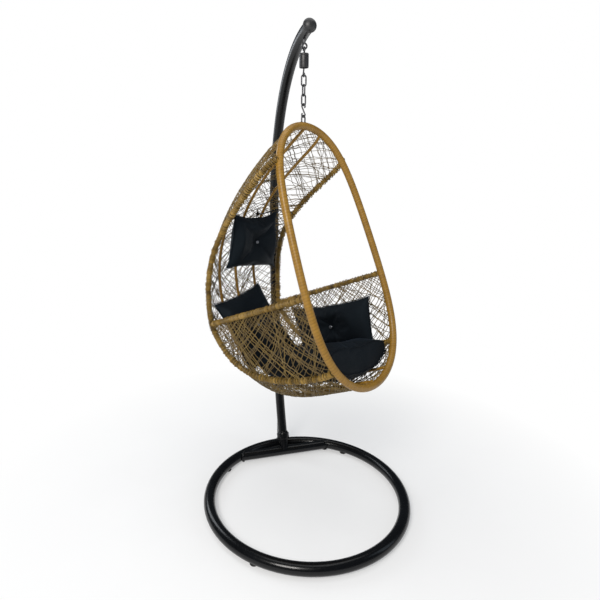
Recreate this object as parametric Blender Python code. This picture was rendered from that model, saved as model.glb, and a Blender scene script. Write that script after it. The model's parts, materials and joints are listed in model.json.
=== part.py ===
"""Hanging egg chair: a steel ring stand with a curved pole, a short chain with a spring,
and a wicker basket with four loose cushions.

Metres, +Z up. X is the stand's left to right, -Y is its front, and z = 0 is the floor. The
origin is the centre of the stand's footprint: the ring reaches as far in front of it as the
pole's bow reaches behind it. The basket is modelled swivelled to the stand's front right, and
every piece of the basket is placed in the basket's own axes by basket().
"""
import math

import bmesh
import bpy
import numpy as np
from mathutils import Matrix, Vector

# ---- stand ----
GAP = 0.0003                 # clearance between two pieces that touch
FOOT_LIFT = 0.004            # rubber under the ring
RING_RADIUS = 0.428          # centre line of the base ring
RING_TUBE = 0.0245
CROSSBAR_BACK = 0.3555       # crossbar behind the ring's centre
CROSSBAR_TUBE = 0.0225
CAP_FLANGE = 0.0045          # how far the pole cap's flange stands proud of the pole
SEAM_CORE = 0.06             # half length of the pipe inside the pole's seam
STRUT_TOP = 0.222
POLE_TUBE = 0.0225
STRUT_TUBE = 0.019
WALL = 0.0018                # steel tube wall
RING_STEPS = 48
RING_SIDES = 14              # a flat facet below and a corner outermost
TUBE_SIDES = 12

# pole centre line: (distance behind the ring's centre, height), two cubic curves and a seam between
POLE_BOW = 0.566             # furthest that the centre line goes back
SEAM_Z = 1.200               # where the two pole sections meet
LOWER_POLE = [(0.3555, 0.030), (0.490, 0.300), (POLE_BOW, 0.750), (POLE_BOW, SEAM_Z - 0.02)]
UPPER_POLE = [(POLE_BOW, SEAM_Z + 0.02), (POLE_BOW, 1.620), (0.350, 1.945), (0.036, 1.972)]

RING_Y = -(POLE_BOW + POLE_TUBE - RING_RADIUS - RING_TUBE) / 2

# ---- hanging line, straight down from the eye bolt ----
HANG_BACK = 0.0994
EYE_BAR_Z = 1.9035           # bottom bar of the eye
EYE_RADIUS = 0.0105
WIRE = 0.003                 # hooks and chain links
EYE_WIRE = 0.0035
CONTACT = 2 * WIRE + GAP     # centre to centre of two wires that bear on each other
LINK_LENGTH = 0.0485
LINK_WIDTH = 0.024
LINK_TOP_CENTRE = 1.787      # middle of the first link
SPRING_TOP = 1.880
SPRING_BOTTOM = 1.8385
SPRING_RADIUS = 0.0105
SPRING_WIRE = 0.0018
SPRING_TURNS = 7
HOOK_TOP_RADIUS = 0.0085
HOOK_LOW_RADIUS = 0.0075
S_HOOK_RADIUS = 0.009
SLEEVE_RADIUS = 0.0185
SLEEVE_WALL = 0.0025
SLEEVE_DROP = 0.046          # sleeve's lower end below the spring's top
HANGER_TOP = 1.6555          # centre of the top wire of the hanger on the hoop
HANGER_RADIUS = 0.011

# ---- basket ----
YAW = math.radians(36.0)     # how far the basket is swivelled to the stand's right
TILT = math.radians(20.2)    # how far the front hoop leans back
HOOP_TOP_Z = 1.6153          # centre line of the hoop's top
HOOP_HALF_HEIGHT = 0.534
HOOP_TUBE = 0.015
SIDE_ROD = 0.009
ARM_ROD = 0.008
RIB_ROD = 0.0065
WEAVE = 0.004                # thickness of the woven panels
ARM_DROP = 0.657             # arm rail below the hoop's top, along the hoop
ARM_BOW = 0.012              # how far the arm rails bow outwards
ROD_STATIONS = 97            # points along a side rod, and rows of the wrap-round panel
PANEL_ROWS = 33
PANEL_COLUMNS = 11

# side rod from the hoop's shoulder to the rear corner and on under the seat: (down, side, back)
ROD_UPPER = [(0.138, 0.2085, 0.0), (0.148, 0.335, 0.004), (0.284, 0.115, 0.386),
             (0.295, 0.273, 0.496), (0.686, 0.232, 0.588)]
ROD_LOWER = [(0.686, 0.232, 0.588), (0.990, 0.233, 0.520), (0.959, 0.237, 0.304),
             (0.983, 0.237, 0.032), (0.939, 0.231, 0.0)]
# middle of the wrap-round panel, from the hoop's top to its bottom: (down, back)
SPINE = [(0.0, 0.0), (0.164, 0.454), (0.309, 0.711), (0.643, 0.725),
         (0.988, 0.635), (1.163, 0.511), (1.077, 0.322), (1.068, 0.0)]

# cushion corners as (down, side, back): top left, top right, low left, low right as their user sees them
HEAD_CORNERS = [(0.258, -0.170, 0.330), (0.268, 0.095, 0.336), (0.456, -0.160, 0.466), (0.490, 0.160, 0.490)]
RIGHT_CORNERS = [(0.596, -0.218, 0.550), (0.554, 0.050, 0.520), (0.915, -0.202, 0.458), (0.900, 0.108, 0.438)]
LEFT_CORNERS = [(0.722, 0.200, 0.480), (0.742, 0.200, 0.042), (0.960, 0.172, 0.460), (0.942, 0.182, 0.070)]
SEAT_CORNERS = [(0.880, -0.190, 0.400), (0.962, 0.120, 0.395), (0.905, -0.200, 0.024), (0.960, 0.180, 0.024)]
SEAT_SAG = 0.026             # how far the middle of the seat cushion hangs below its corners

BLACK = (0.012, 0.013, 0.016)
STEEL = (0.10, 0.10, 0.11)
CANE = (0.45, 0.23, 0.045)
WEAVE_BROWN = (0.22, 0.13, 0.05)
FABRIC = (0.014, 0.016, 0.020)
RUBBER = (0.02, 0.02, 0.02)


# ---------------------------------------------------------------- places

def stand(x, back, z):
    """A point of the stand: x, distance behind the ring's centre, height over the ring's underside."""
    return Vector((x, RING_Y + back, z + FOOT_LIFT))


def hang(z, x=0.0, y=0.0):
    """A point of the hanging line at height z, or beside it by x and y."""
    return stand(x, HANG_BACK + y, z)


FORWARD = Vector((math.sin(YAW), -math.cos(YAW), 0.0))
SIDE = Vector((math.cos(YAW), math.sin(YAW), 0.0))
UP = Vector((0.0, 0.0, 1.0))
DOWN = FORWARD * math.sin(TILT) - UP * math.cos(TILT)
BACK = -FORWARD * math.cos(TILT) - UP * math.sin(TILT)
HOOP_TOP = hang(HOOP_TOP_Z)


def basket(down, side, back):
    """A point of the basket: down the hoop from its top, to the side, and behind the hoop's plane."""
    return HOOP_TOP + DOWN * down + SIDE * side + BACK * back


def bezier(points, t):
    """The point at t (0 to 1) of a Bezier curve of any degree."""
    points = [np.array(p, float) for p in points]
    while len(points) > 1:
        points = [a + (b - a) * t for a, b in zip(points, points[1:])]
    return points[0]


def even(points, count):
    """The same line with its points spaced evenly along it."""
    points = np.array(points, float)
    steps = np.linalg.norm(np.diff(points, axis=0), axis=1)
    length = np.concatenate([[0.0], np.cumsum(steps)])
    where = np.linspace(0.0, length[-1], count)
    return np.stack([np.interp(where, length, points[:, k]) for k in range(points.shape[1])], axis=1)


# ---------------------------------------------------------------- materials and meshes

def make_material(name, colour, roughness, metallic=0.0):
    material = bpy.data.materials.new(name)
    material.use_nodes = True
    shader = material.node_tree.nodes["Principled BSDF"]
    shader.inputs["Base Color"].default_value = (*colour, 1.0)
    shader.inputs["Roughness"].default_value = roughness
    shader.inputs["Metallic"].default_value = metallic
    return material


def add_object(name, bm, material):
    """An object of its own from a finished bmesh, shaded smooth up to 40 degree edges."""
    bmesh.ops.recalc_face_normals(bm, faces=bm.faces)
    mesh = bpy.data.meshes.new(name)
    bm.to_mesh(mesh)
    bm.free()
    mesh.materials.append(material)
    mesh.shade_smooth()
    mesh.set_sharp_from_angle(angle=math.radians(40))
    obj = bpy.data.objects.new(name, mesh)
    bpy.context.scene.collection.objects.link(obj)
    return obj


def frames(points, closed, first=None):
    """A side vector and an up vector at each point, turning as little as possible."""
    count = len(points)
    steps = [(points[(i + 1) % count] - points[i]).normalized() for i in range(count)]
    if not closed:
        steps[-1] = steps[-2]
    tangents = [(steps[i - 1] + steps[i]).normalized() for i in range(count)]
    if not closed:
        tangents[0] = steps[0]
    side = first or tangents[0].orthogonal()
    out = []
    for tangent in tangents:
        side = (side - tangent * side.dot(tangent)).normalized()
        out.append((side, tangent.cross(side)))
    return out


def ring_of(bm, centre, side, up, radius, sides, turn=0.0):
    """A ring of vertices round centre, in the plane of side and up."""
    ring = []
    for k in range(sides):
        angle = 2 * math.pi * k / sides + turn
        ring.append(bm.verts.new(centre + (side * math.cos(angle) + up * math.sin(angle)) * radius))
    return ring


def skin(bm, rings, closed):
    """Faces between each ring of vertices and the next."""
    pairs = list(zip(rings, rings[1:]))
    if closed:
        pairs.append((rings[-1], rings[0]))
    for a, b in pairs:
        for k in range(len(a)):
            n = (k + 1) % len(a)
            bm.faces.new((a[k], a[n], b[n], b[k]))


def tube(name, points, radius, material, sides=8, closed=False, bore=None, first=None, turn=0.0):
    """A round bar along points, or a pipe when bore is the inner radius."""
    points = [Vector(p) for p in points]
    axes = frames(points, closed, first)
    radii = radius if isinstance(radius, (list, tuple)) else [radius] * len(points)
    bm = bmesh.new()
    outer = [ring_of(bm, p, s, u, r, sides, turn) for p, (s, u), r in zip(points, axes, radii)]
    skin(bm, outer, closed)
    if bore:
        inner = [ring_of(bm, p, s, u, bore, sides, turn) for p, (s, u) in zip(points, axes)]
        skin(bm, inner, closed)
        for a, b in ((outer[0], inner[0]), (outer[-1], inner[-1])):
            for k in range(sides):
                n = (k + 1) % sides
                bm.faces.new((a[k], a[n], b[n], b[k]))
    elif not closed:
        bm.faces.new(outer[0])
        bm.faces.new(outer[-1])
    return add_object(name, bm, material)


def turned(name, profile, place, material, sides=24, hollow=False):
    """A solid turned about place's Z axis. profile is (radius, height) from end to end, or all the
    way round the wall when it is hollow."""
    bm = bmesh.new()
    x_axis, y_axis = Vector((1, 0, 0)), Vector((0, 1, 0))
    rings = [ring_of(bm, Vector((0, 0, height)), x_axis, y_axis, radius, sides) for radius, height in profile]
    skin(bm, rings, hollow)
    if not hollow:
        bm.faces.new(rings[0])
        bm.faces.new(rings[-1])
    bm.transform(place)
    return add_object(name, bm, material)


def slab(name, grid, thickness, material):
    """A thin closed sheet: grid[i][j] are points of its middle surface."""
    rows, columns = len(grid), len(grid[0])
    bm = bmesh.new()
    layers = []
    for sign in (0.5, -0.5):
        layer = []
        for i in range(rows):
            row = []
            for j in range(columns):
                along = grid[min(i + 1, rows - 1)][j] - grid[max(i - 1, 0)][j]
                across = grid[i][min(j + 1, columns - 1)] - grid[i][max(j - 1, 0)]
                normal = along.cross(across).normalized()
                row.append(bm.verts.new(grid[i][j] + normal * thickness * sign))
            layer.append(row)
        layers.append(layer)
    top, under = layers
    for i in range(rows - 1):
        for j in range(columns - 1):
            for layer in layers:
                bm.faces.new((layer[i][j], layer[i + 1][j], layer[i + 1][j + 1], layer[i][j + 1]))
    for i in range(rows - 1):
        for j in (0, columns - 1):
            bm.faces.new((top[i][j], top[i + 1][j], under[i + 1][j], under[i][j]))
    for j in range(columns - 1):
        for i in (0, rows - 1):
            bm.faces.new((top[i][j], top[i][j + 1], under[i][j + 1], under[i][j]))
    return add_object(name, bm, material)


def as_cutter(obj):
    """Marks a shape as a tool that isn't part of the chair."""
    obj.hide_render = True
    obj.display_type = "WIRE"
    return obj


def cut(obj, *cutters):
    """Takes the cutters out of obj."""
    for cutter in cutters:
        modifier = obj.modifiers.new("cut by " + cutter.name, "BOOLEAN")
        modifier.operation = "DIFFERENCE"
        modifier.object = cutter


# ---------------------------------------------------------------- stand

def ring_points(seam):
    """Points round the ring's centre line; with a seam it stops a hair short of a full turn."""
    angles = [2 * math.pi * k / RING_STEPS for k in range(RING_STEPS)]
    if seam:
        start = GAP / RING_RADIUS
        angles = [start, 5 * start] + angles[1:] + [2 * math.pi - 5 * start, 2 * math.pi - start]
    return [stand(RING_RADIUS * math.sin(a), RING_RADIUS * math.cos(a), RING_TUBE) for a in angles]


def make_base(paint, rubber):
    """The rolled ring pipe, the crossbar welded across its back, and four pads under it."""
    flat = math.pi / RING_SIDES
    tube("base_ring", ring_points(True), RING_TUBE, paint, RING_SIDES,
         bore=RING_TUBE - WALL, first=UP, turn=flat)
    ring_cutter = tube("ring_cutter", ring_points(False), RING_TUBE + GAP, paint, RING_SIDES,
                       closed=True, first=UP, turn=flat)
    as_cutter(ring_cutter)
    half = math.sqrt(RING_RADIUS ** 2 - CROSSBAR_BACK ** 2)
    ends = [stand(x, CROSSBAR_BACK, RING_TUBE) for x in (-half, half)]
    crossbar = tube("base_crossbar", ends, CROSSBAR_TUBE, paint, TUBE_SIDES,
                    bore=CROSSBAR_TUBE - WALL, first=UP)
    cut(crossbar, ring_cutter)

    for k in range(4):
        angle = math.pi / 4 + k * math.pi / 2
        spot = stand(RING_RADIUS * math.sin(angle), RING_RADIUS * math.cos(angle), -FOOT_LIFT)
        pad = turned("ring_foot_pad_%d" % (k + 1), [(0.016, 0.0), (0.017, 0.002), (0.017, 0.009)],
                     Matrix.Translation(spot), rubber, 20)
        cut(pad, ring_cutter)
    return ring_cutter


def pole_line(curve, count, lo=0.0, hi=1.0):
    """Points of the pole's centre line on one of its two curves, from lo to hi along it."""
    return [stand(0.0, *bezier(curve, lo + (hi - lo) * k / (count - 1))) for k in range(count)]


def along_tube(points):
    """A turn that brings +Z to the direction in which a line of points ends."""
    return (points[-1] - points[-2]).to_track_quat("Z", "X").to_matrix().to_4x4()


def make_pole(paint, cap, ring_cutter):
    across = Vector((1, 0, 0))
    bore = POLE_TUBE - WALL
    lower_line = pole_line(LOWER_POLE, 14) + [stand(0.0, POLE_BOW, SEAM_Z - GAP)]
    upper_line = [stand(0.0, POLE_BOW, SEAM_Z + GAP)] + pole_line(UPPER_POLE, 19)
    lower = tube("lower_pole", lower_line, POLE_TUBE, paint, TUBE_SIDES, bore=bore, first=across)
    tube("upper_pole", upper_line, POLE_TUBE, paint, TUBE_SIDES, bore=bore, first=across)

    bar = [stand(x, CROSSBAR_BACK, RING_TUBE) for x in (-0.1, 0.1)]
    bar_cutter = tube("bar_cutter", bar, CROSSBAR_TUBE + GAP, paint, TUBE_SIDES, first=UP)
    cut(lower, as_cutter(bar_cutter))
    pole_cutter = tube("pole_cutter", lower_line, POLE_TUBE + GAP, paint, TUBE_SIDES, first=across)
    as_cutter(pole_cutter)

    # strut from the back of the ring up to the pole
    strut_line = [stand(0.0, RING_RADIUS, z) for z in (RING_TUBE, STRUT_TOP / 2, STRUT_TOP)]
    strut = tube("rear_strut", strut_line, STRUT_TUBE, paint, TUBE_SIDES, bore=STRUT_TUBE - WALL, first=across)
    strut_cutter = tube("strut_cutter", strut_line, STRUT_TUBE + GAP, paint, TUBE_SIDES, first=across)
    as_cutter(strut_cutter)
    cut(strut, ring_cutter, pole_cutter)

    # weld collar where the pole lands on the crossbar
    foot_line = pole_line(LOWER_POLE, 2, 0.06, 0.085)
    collar = turned("pole_foot_collar",
                    [(0.031, -0.030), (0.031, 0.001), (0.027, 0.006), (POLE_TUBE + 0.001, 0.008)],
                    Matrix.Translation(foot_line[-1]) @ along_tube(foot_line), paint, 20)
    cut(collar, pole_cutter, bar_cutter, strut_cutter)

    # pipe inside the seam that joins the two sections, and its two screws
    core = [stand(0.0, POLE_BOW, SEAM_Z + z) for z in np.linspace(-SEAM_CORE, SEAM_CORE, 5)]
    tube("pole_joint_core", core, bore - 0.0012, paint, TUBE_SIDES, bore=bore - 0.0035, first=across)
    screw = [(0.006, 0.0), (0.006, 0.0015), (0.004, 0.0032), (0.0015, 0.0038)]
    for name, z in (("lower", -0.035), ("upper", 0.035)):
        spot = stand(POLE_TUBE + GAP, POLE_BOW, SEAM_Z + z)
        place = Matrix.Translation(spot) @ Matrix.Rotation(math.pi / 2, 4, "Y")
        turned("pole_joint_screw_" + name, screw, place, paint, 12)

    # cap in the pole's open end
    plug = bore - 0.0008
    turned("pole_end_cap",
           [(plug, -0.018), (plug, GAP), (POLE_TUBE + CAP_FLANGE, GAP), (POLE_TUBE + CAP_FLANGE, 0.005),
            (POLE_TUBE + 0.001, 0.007), (POLE_TUBE - 0.002, 0.015), (0.013, 0.020), (0.006, 0.022)],
           Matrix.Translation(upper_line[-1]) @ along_tube(upper_line), cap, 20)
    upper_cutter = tube("upper_cutter", upper_line, POLE_TUBE + GAP, paint, TUBE_SIDES, first=across)
    return as_cutter(upper_cutter)


# ---------------------------------------------------------------- hanging line

def arc(centre, across, radius, start, sweep, count):
    """Points of an arc in the plane of across and UP; 0 is along across, 90 degrees is up."""
    out = []
    for k in range(count):
        angle = math.radians(start + sweep * k / (count - 1))
        out.append(centre + across * math.cos(angle) * radius + UP * math.sin(angle) * radius)
    return out


def pole_height_at(back):
    """Height of the pole's centre line over a point behind the ring's centre."""
    low, high = 0.3, 1.0
    for _ in range(40):
        middle = (low + high) / 2
        if bezier(UPPER_POLE, middle)[0] > back:
            low = middle
        else:
            high = middle
    return bezier(UPPER_POLE, low)[1]


def make_eye(steel, upper_cutter):
    """A ring on a short shank, welded under the pole."""
    loop = arc(hang(EYE_BAR_Z + EYE_RADIUS), Vector((1, 0, 0)), EYE_RADIUS, 90, 348, 21)
    shank = [hang(EYE_BAR_Z + 2 * EYE_RADIUS - 0.001), hang(pole_height_at(HANG_BACK))]
    ring = as_cutter(tube("eye_ring", loop, EYE_WIRE, steel, 10))
    eye = tube("pole_eye", shank, EYE_WIRE + 0.001, steel, 12)
    weld = eye.modifiers.new("weld ring", "BOOLEAN")
    weld.operation = "UNION"
    weld.object = ring
    cut(eye, upper_cutter)


def make_spring_unit(steel, sleeve):
    """The spring in its sleeve, the hook over it and the hook under it."""
    y_axis = Vector((0, 1, 0))
    bow_top = EYE_BAR_Z + EYE_WIRE + WIRE + GAP
    bow_centre = bow_top - HOOK_TOP_RADIUS
    upper = arc(hang(bow_centre), y_axis, HOOK_TOP_RADIUS, -30, 210, 15)
    upper += [hang(bow_centre - 0.005, y=-0.0075), hang(SPRING_TOP + 0.0115, y=-0.0008),
              hang(SPRING_TOP + 0.008), hang(SPRING_TOP + 0.0008)]
    tube("spring_upper_hook", upper, WIRE, steel, 8)

    length = SPRING_TOP - SPRING_BOTTOM - 2 * SPRING_WIRE
    coil = []
    for part in np.linspace(0.0, 1.0, SPRING_TURNS * 10 + 1):
        angle = 2 * math.pi * SPRING_TURNS * part
        height = SPRING_BOTTOM + SPRING_WIRE + length * part
        coil.append(hang(height, SPRING_RADIUS * math.cos(angle), SPRING_RADIUS * math.sin(angle)))
    tube("tension_spring", coil, SPRING_WIRE, steel, 5)

    inner = SLEEVE_RADIUS - SLEEVE_WALL
    wall = [(0.0085, 0.009), (SLEEVE_RADIUS - 0.002, 0.0075), (SLEEVE_RADIUS, 0.005),
            (SLEEVE_RADIUS, -SLEEVE_DROP), (inner, -SLEEVE_DROP), (inner, 0.0045),
            (0.0052, 0.0065), (0.0052, 0.009)]
    turned("spring_cover", wall, Matrix.Translation(hang(SPRING_TOP)), sleeve, hollow=True)

    link_bar = link_centre(0) + LINK_LENGTH / 2 - WIRE
    bow_centre = link_bar - CONTACT + HOOK_LOW_RADIUS
    lower = [hang(SPRING_BOTTOM - 0.0008), hang(SPRING_BOTTOM - 0.008, y=0.001)]
    lower += arc(hang(bow_centre), y_axis, HOOK_LOW_RADIUS, 30, -255, 17)
    tube("spring_lower_hook", lower, WIRE, steel, 8)


def link_centre(index):
    """Height of the middle of a chain link, counted from the top."""
    pitch = LINK_LENGTH - 2 * WIRE - CONTACT
    return LINK_TOP_CENTRE - index * pitch


def make_link(name, index, angle, steel):
    """An oval link in the upright plane at an angle from X."""
    across = Vector((math.cos(angle), math.sin(angle), 0.0))
    radius = LINK_WIDTH / 2 - WIRE
    straight = LINK_LENGTH / 2 - LINK_WIDTH / 2
    middle = link_centre(index)
    points = arc(hang(middle + straight), across, radius, 0, 180, 9)
    points += arc(hang(middle - straight), across, radius, 180, 180, 9)
    return tube(name, points, WIRE, steel, 8, closed=True)


def make_chain(steel):
    """Three links and an S-hook, each turned a quarter of the basket's swivel more than a square turn."""
    step = math.pi / 2 + YAW / 4
    for index in range(3):
        make_link("chain_link_%d" % (index + 1), index, index * step, steel)

    across = Vector((math.cos(3 * step), math.sin(3 * step), 0.0))
    top_bar = link_centre(2) - LINK_LENGTH / 2 + WIRE + CONTACT
    upper = arc(hang(top_bar - S_HOOK_RADIUS), across, S_HOOK_RADIUS, -50, 230, 15)
    low_bar = HANGER_TOP - CONTACT
    lower = arc(hang(low_bar + S_HOOK_RADIUS), across, S_HOOK_RADIUS, 0, -230, 15)
    tube("s_hook", upper + lower, WIRE, steel, 8)


def make_hanger(steel, hoop_cutter):
    """The wire staple welded on top of the hoop."""
    bow = arc(hang(HANGER_TOP - HANGER_RADIUS), SIDE, HANGER_RADIUS, 0, 180, 13)
    legs = [HOOP_TOP + SIDE * HANGER_RADIUS, HOOP_TOP - SIDE * HANGER_RADIUS]
    hanger = tube("hoop_hanger", [legs[0]] + bow + [legs[1]], WIRE, steel, 8)
    cut(hanger, hoop_cutter)


# ---------------------------------------------------------------- basket frame

def hoop_side(angle):
    """Half width of the egg at an angle from its top."""
    c = math.cos(angle)
    return 0.2751 * math.sin(angle) * (1 - 0.1297 * c + 0.3721 * c ** 2 + 0.0549 * c ** 3)


def hoop_down(angle):
    """How far down the hoop a point of the egg is."""
    return HOOP_HALF_HEIGHT * (1 - math.cos(angle))


def angle_at(down):
    return math.acos(1 - down / HOOP_HALF_HEIGHT)


def rod_line():
    """The side rod from hoop to hoop as evenly spaced (down, side, back) points."""
    upper = [bezier(ROD_UPPER, t) for t in np.linspace(0, 1, 60)]
    lower = [bezier(ROD_LOWER, t) for t in np.linspace(0, 1, 60)]
    return even(upper + lower[1:], ROD_STATIONS)


def spine_line():
    """The middle of the wrap-round panel as evenly spaced (down, back) points."""
    points = [bezier(SPINE, t) for t in np.linspace(0, 1, 160)]
    return even(points, ROD_STATIONS)


ROD = rod_line()
MIDDLE = spine_line()
CORNER = int(np.argmin(np.linalg.norm(ROD - np.array(ROD_LOWER[0]), axis=1)))
ARM_SIDE = hoop_side(angle_at(ARM_DROP))


def bulge(row, u):
    """How much of the crown the wrap-round panel has at u, which is 0 at its middle and 1 at a side rod."""
    t = row / (len(ROD) - 1)
    start = 1 - smooth(t / 0.25)
    end = smooth((t - 0.75) / 0.25)
    u = abs(u)
    at_top = 1 - hoop_depth_top(u * ROD[0, 1]) / ROD[0, 0]
    at_bottom = (hoop_depth_bottom(u * ROD[-1, 1]) - ROD[-1, 0]) / (2 * HOOP_HALF_HEIGHT - ROD[-1, 0])
    return start * at_top + end * at_bottom + (1 - start - end) * (1 - u ** 3)


def smooth(x):
    """0 below 0 and 1 above 1, with an S-curve between."""
    x = min(max(x, 0.0), 1.0)
    return x * x * (3 - 2 * x)


TOP_ARC = [(hoop_side(a), hoop_down(a)) for a in np.linspace(0.0, math.radians(60), 120)]
BOTTOM_ARC = [(hoop_side(a), hoop_down(a)) for a in np.linspace(math.pi, math.radians(125), 120)]


def hoop_depth_top(side):
    """How far down the hoop's upper arc is at a distance to the side."""
    return float(np.interp(side, [p[0] for p in TOP_ARC], [p[1] for p in TOP_ARC]))


def hoop_depth_bottom(side):
    """How far down the hoop's lower arc is at a distance to the side."""
    return float(np.interp(side, [p[0] for p in BOTTOM_ARC], [p[1] for p in BOTTOM_ARC]))


def panel_point(row, u):
    """A point of the wrap-round panel: row along the side rods, u across from -1 to 1."""
    low = int(min(row, len(ROD) - 2))
    part = row - low
    rod = ROD[low] * (1 - part) + ROD[low + 1] * part
    mid = MIDDLE[low] * (1 - part) + MIDDLE[low + 1] * part
    f = bulge(row, u)
    return basket(rod[0] + (mid[0] - rod[0]) * f, rod[1] * u, rod[2] + (mid[1] - rod[2]) * f)


def panel_normal(row, u):
    """The wrap-round panel's normal, into the basket."""
    along = panel_point(min(row + 0.5, ROD_STATIONS - 1), u) - panel_point(max(row - 0.5, 0), u)
    across = panel_point(row, min(u + 0.02, 1)) - panel_point(row, max(u - 0.02, -1))
    return along.cross(across).normalized()


def arm_point(t):
    """The arm rail from the hoop (0) to the rear corner (1) as (down, side, back)."""
    corner = ROD[CORNER]
    bow = ARM_BOW * math.sin(math.pi * t)
    return (ARM_DROP + (corner[0] - ARM_DROP) * t, ARM_SIDE + (corner[1] - ARM_SIDE) * t + bow, corner[2] * t)


def make_basket_frame(cane, brown):
    """The egg-shaped hoop, a side rod and an arm rail on each side, and three ribs down the back."""
    angles = np.linspace(0.0, 2 * math.pi, 48, endpoint=False)
    hoop = [basket(hoop_down(a), hoop_side(a), 0.0) for a in angles]
    tube("front_hoop", hoop, HOOP_TUBE, cane, 10, closed=True, first=BACK)
    hoop_cutter = as_cutter(tube("hoop_cutter", hoop, HOOP_TUBE + GAP, cane, 10, closed=True, first=BACK))

    for side, sign in (("left", 1), ("right", -1)):
        line = [basket(d, s * sign, b) for d, s, b in ROD[::3]]
        rod = tube("side_rod_" + side, line, SIDE_ROD, brown, 8)
        cut(rod, hoop_cutter)
        rod_cutter = as_cutter(tube("rod_cutter_" + side, line, SIDE_ROD + GAP, brown, 8))

        line = [basket(d, s * sign, b) for d, s, b in map(arm_point, np.linspace(0.0, 0.993, 9))]
        arm = tube("arm_rail_" + side, line, ARM_ROD, brown, 8)
        cut(arm, hoop_cutter, rod_cutter)

    for name, u in (("right", -0.5), ("middle", 0.0), ("left", 0.5)):
        line = []
        for row in range(0, ROD_STATIONS, 4):
            line.append(panel_point(row, u) + panel_normal(row, u) * (RIB_ROD + WEAVE / 2 + 0.003))
        rib = tube("back_rib_" + name, line, RIB_ROD, cane, 6)
        cut(rib, hoop_cutter)
    return hoop_cutter


def side_wall_point(q, v, margin):
    """A point of the left woven wall: q from the hoop back, v from the arm rail down to the side rod."""
    low = ROD[CORNER:][::-1]
    stations = np.linspace(0.0, 1.0, len(low))
    bottom = np.array([np.interp(q, stations, low[:, k]) for k in range(3)])
    top = np.array(arm_point(q))
    part = margin / np.linalg.norm(top - bottom)
    v = part + (1 - 2 * part) * v
    point = top * (1 - v) + bottom * v
    # beside the hoop the wall follows the hoop's curve
    at_hoop = ARM_DROP * (1 - v) + ROD[-1, 0] * v
    straight = ARM_SIDE * (1 - v) + ROD[-1, 1] * v
    point[1] += (hoop_side(angle_at(at_hoop)) - straight) * (1 - q) ** 2
    return point


def make_weave(brown):
    """The wrap-round panel (roof, back and bottom) and a wall under each arm rail."""
    margin = SIDE_ROD + 0.0035
    grid = []
    for row in np.linspace(2.2, 93.8, PANEL_ROWS):
        width = float(np.interp(row, range(ROD_STATIONS), ROD[:, 1]))
        edge = 1 - margin / width
        grid.append([panel_point(row, edge * u) for u in np.linspace(-1, 1, PANEL_COLUMNS)])
    slab("wrap_weave_panel", grid, WEAVE, brown)

    for side, sign in (("left", 1), ("right", -1)):
        grid = []
        for q in np.linspace(0.03, 0.86, 11):
            row = [side_wall_point(q, v, margin) for v in np.linspace(0.0, 1.0, 7)]
            grid.append([basket(down, across * sign, back) for down, across, back in row])
        slab("side_weave_panel_" + side, grid, WEAVE, brown)


# ---------------------------------------------------------------- cushions

def cushion(name, corners, thick, fabric, rims=(0.12, 0.12), sag=0.0, count=8):
    """A stuffed pad between its corners (top left, top right, low left, low right as its user sees it).

    rims are the thickness at its sides and at its top and low edges, as shares of the full thickness.
    """
    top_left, top_right, low_left, low_right = [basket(*corner) for corner in corners]
    across = top_right - top_left + low_right - low_left
    up = top_left - low_left + top_right - low_right
    normal = across.cross(up).normalized()
    bm = bmesh.new()
    layers = []
    for sign in (1, -1):
        layer = []
        for i in range(count + 1):
            row = []
            for j in range(count + 1):
                a, b = 2 * i / count - 1, 2 * j / count - 1
                full = [rim + (1 - rim) * (1 - x ** 4) ** 0.6 for rim, x in zip(rims, (a, b))]
                rise = thick / 2 * full[0] * full[1]
                drop = sag * (1 - a * a)
                # the sides draw in between the corners
                x = 0.5 + a / 2 * (1 - 0.05 * (1 - b * b) * abs(a))
                y = 0.5 + b / 2 * (1 - 0.05 * (1 - a * a) * abs(b))
                spot = (top_left * (1 - x) + top_right * x) * y + (low_left * (1 - x) + low_right * x) * (1 - y)
                row.append(bm.verts.new(spot + normal * (rise * sign - drop)))
            layer.append(row)
        layers.append(layer)
    for layer in layers:
        for i in range(count):
            for j in range(count):
                bm.faces.new((layer[i][j], layer[i + 1][j], layer[i + 1][j + 1], layer[i][j + 1]))
    edge = [(i, 0) for i in range(count)] + [(count, j) for j in range(count)]
    edge += [(i, count) for i in range(count, 0, -1)] + [(0, j) for j in range(count, 0, -1)]
    for (i, j), (m, n) in zip(edge, edge[1:] + edge[:1]):
        bm.faces.new((layers[0][i][j], layers[0][m][n], layers[1][m][n], layers[1][i][j]))
    add_object(name, bm, fabric)
    return (top_left + top_right + low_left + low_right) / 4 + normal * thick / 2, normal


def button(name, spot, normal, fabric):
    turn = normal.to_track_quat("Z", "X").to_matrix().to_4x4()
    place = Matrix.Translation(spot + normal * 0.0008) @ turn
    turned(name, [(0.0080, 0.0), (0.0090, 0.0015), (0.0075, 0.0035), (0.0025, 0.0045)], place, fabric, 16)


def make_cushions(fabric):
    """Three small pillows with a button each, and the thick seat cushion."""
    spot = cushion("head_pillow", HEAD_CORNERS, 0.085, fabric)
    button("head_pillow_button", *spot, fabric)
    spot = cushion("right_pillow", RIGHT_CORNERS, 0.080, fabric)
    button("right_pillow_button", *spot, fabric)
    spot = cushion("left_pillow", LEFT_CORNERS, 0.075, fabric)
    button("left_pillow_button", *spot, fabric)
    cushion("seat_cushion", SEAT_CORNERS, 0.155, fabric, (0.26, 0.85), SEAT_SAG)


# ---------------------------------------------------------------- build

def clear_scene():
    for obj in list(bpy.data.objects):
        bpy.data.objects.remove(obj)


def pivot(name, point, pieces):
    """An empty on a joint's axis, which carries the pieces that move on that joint."""
    empty = bpy.data.objects.new(name, None)
    empty.location = point
    bpy.context.scene.collection.objects.link(empty)
    for piece in pieces:
        obj = bpy.data.objects[piece]
        obj.parent = empty
        obj.matrix_parent_inverse = Matrix.Translation(-point)


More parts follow.
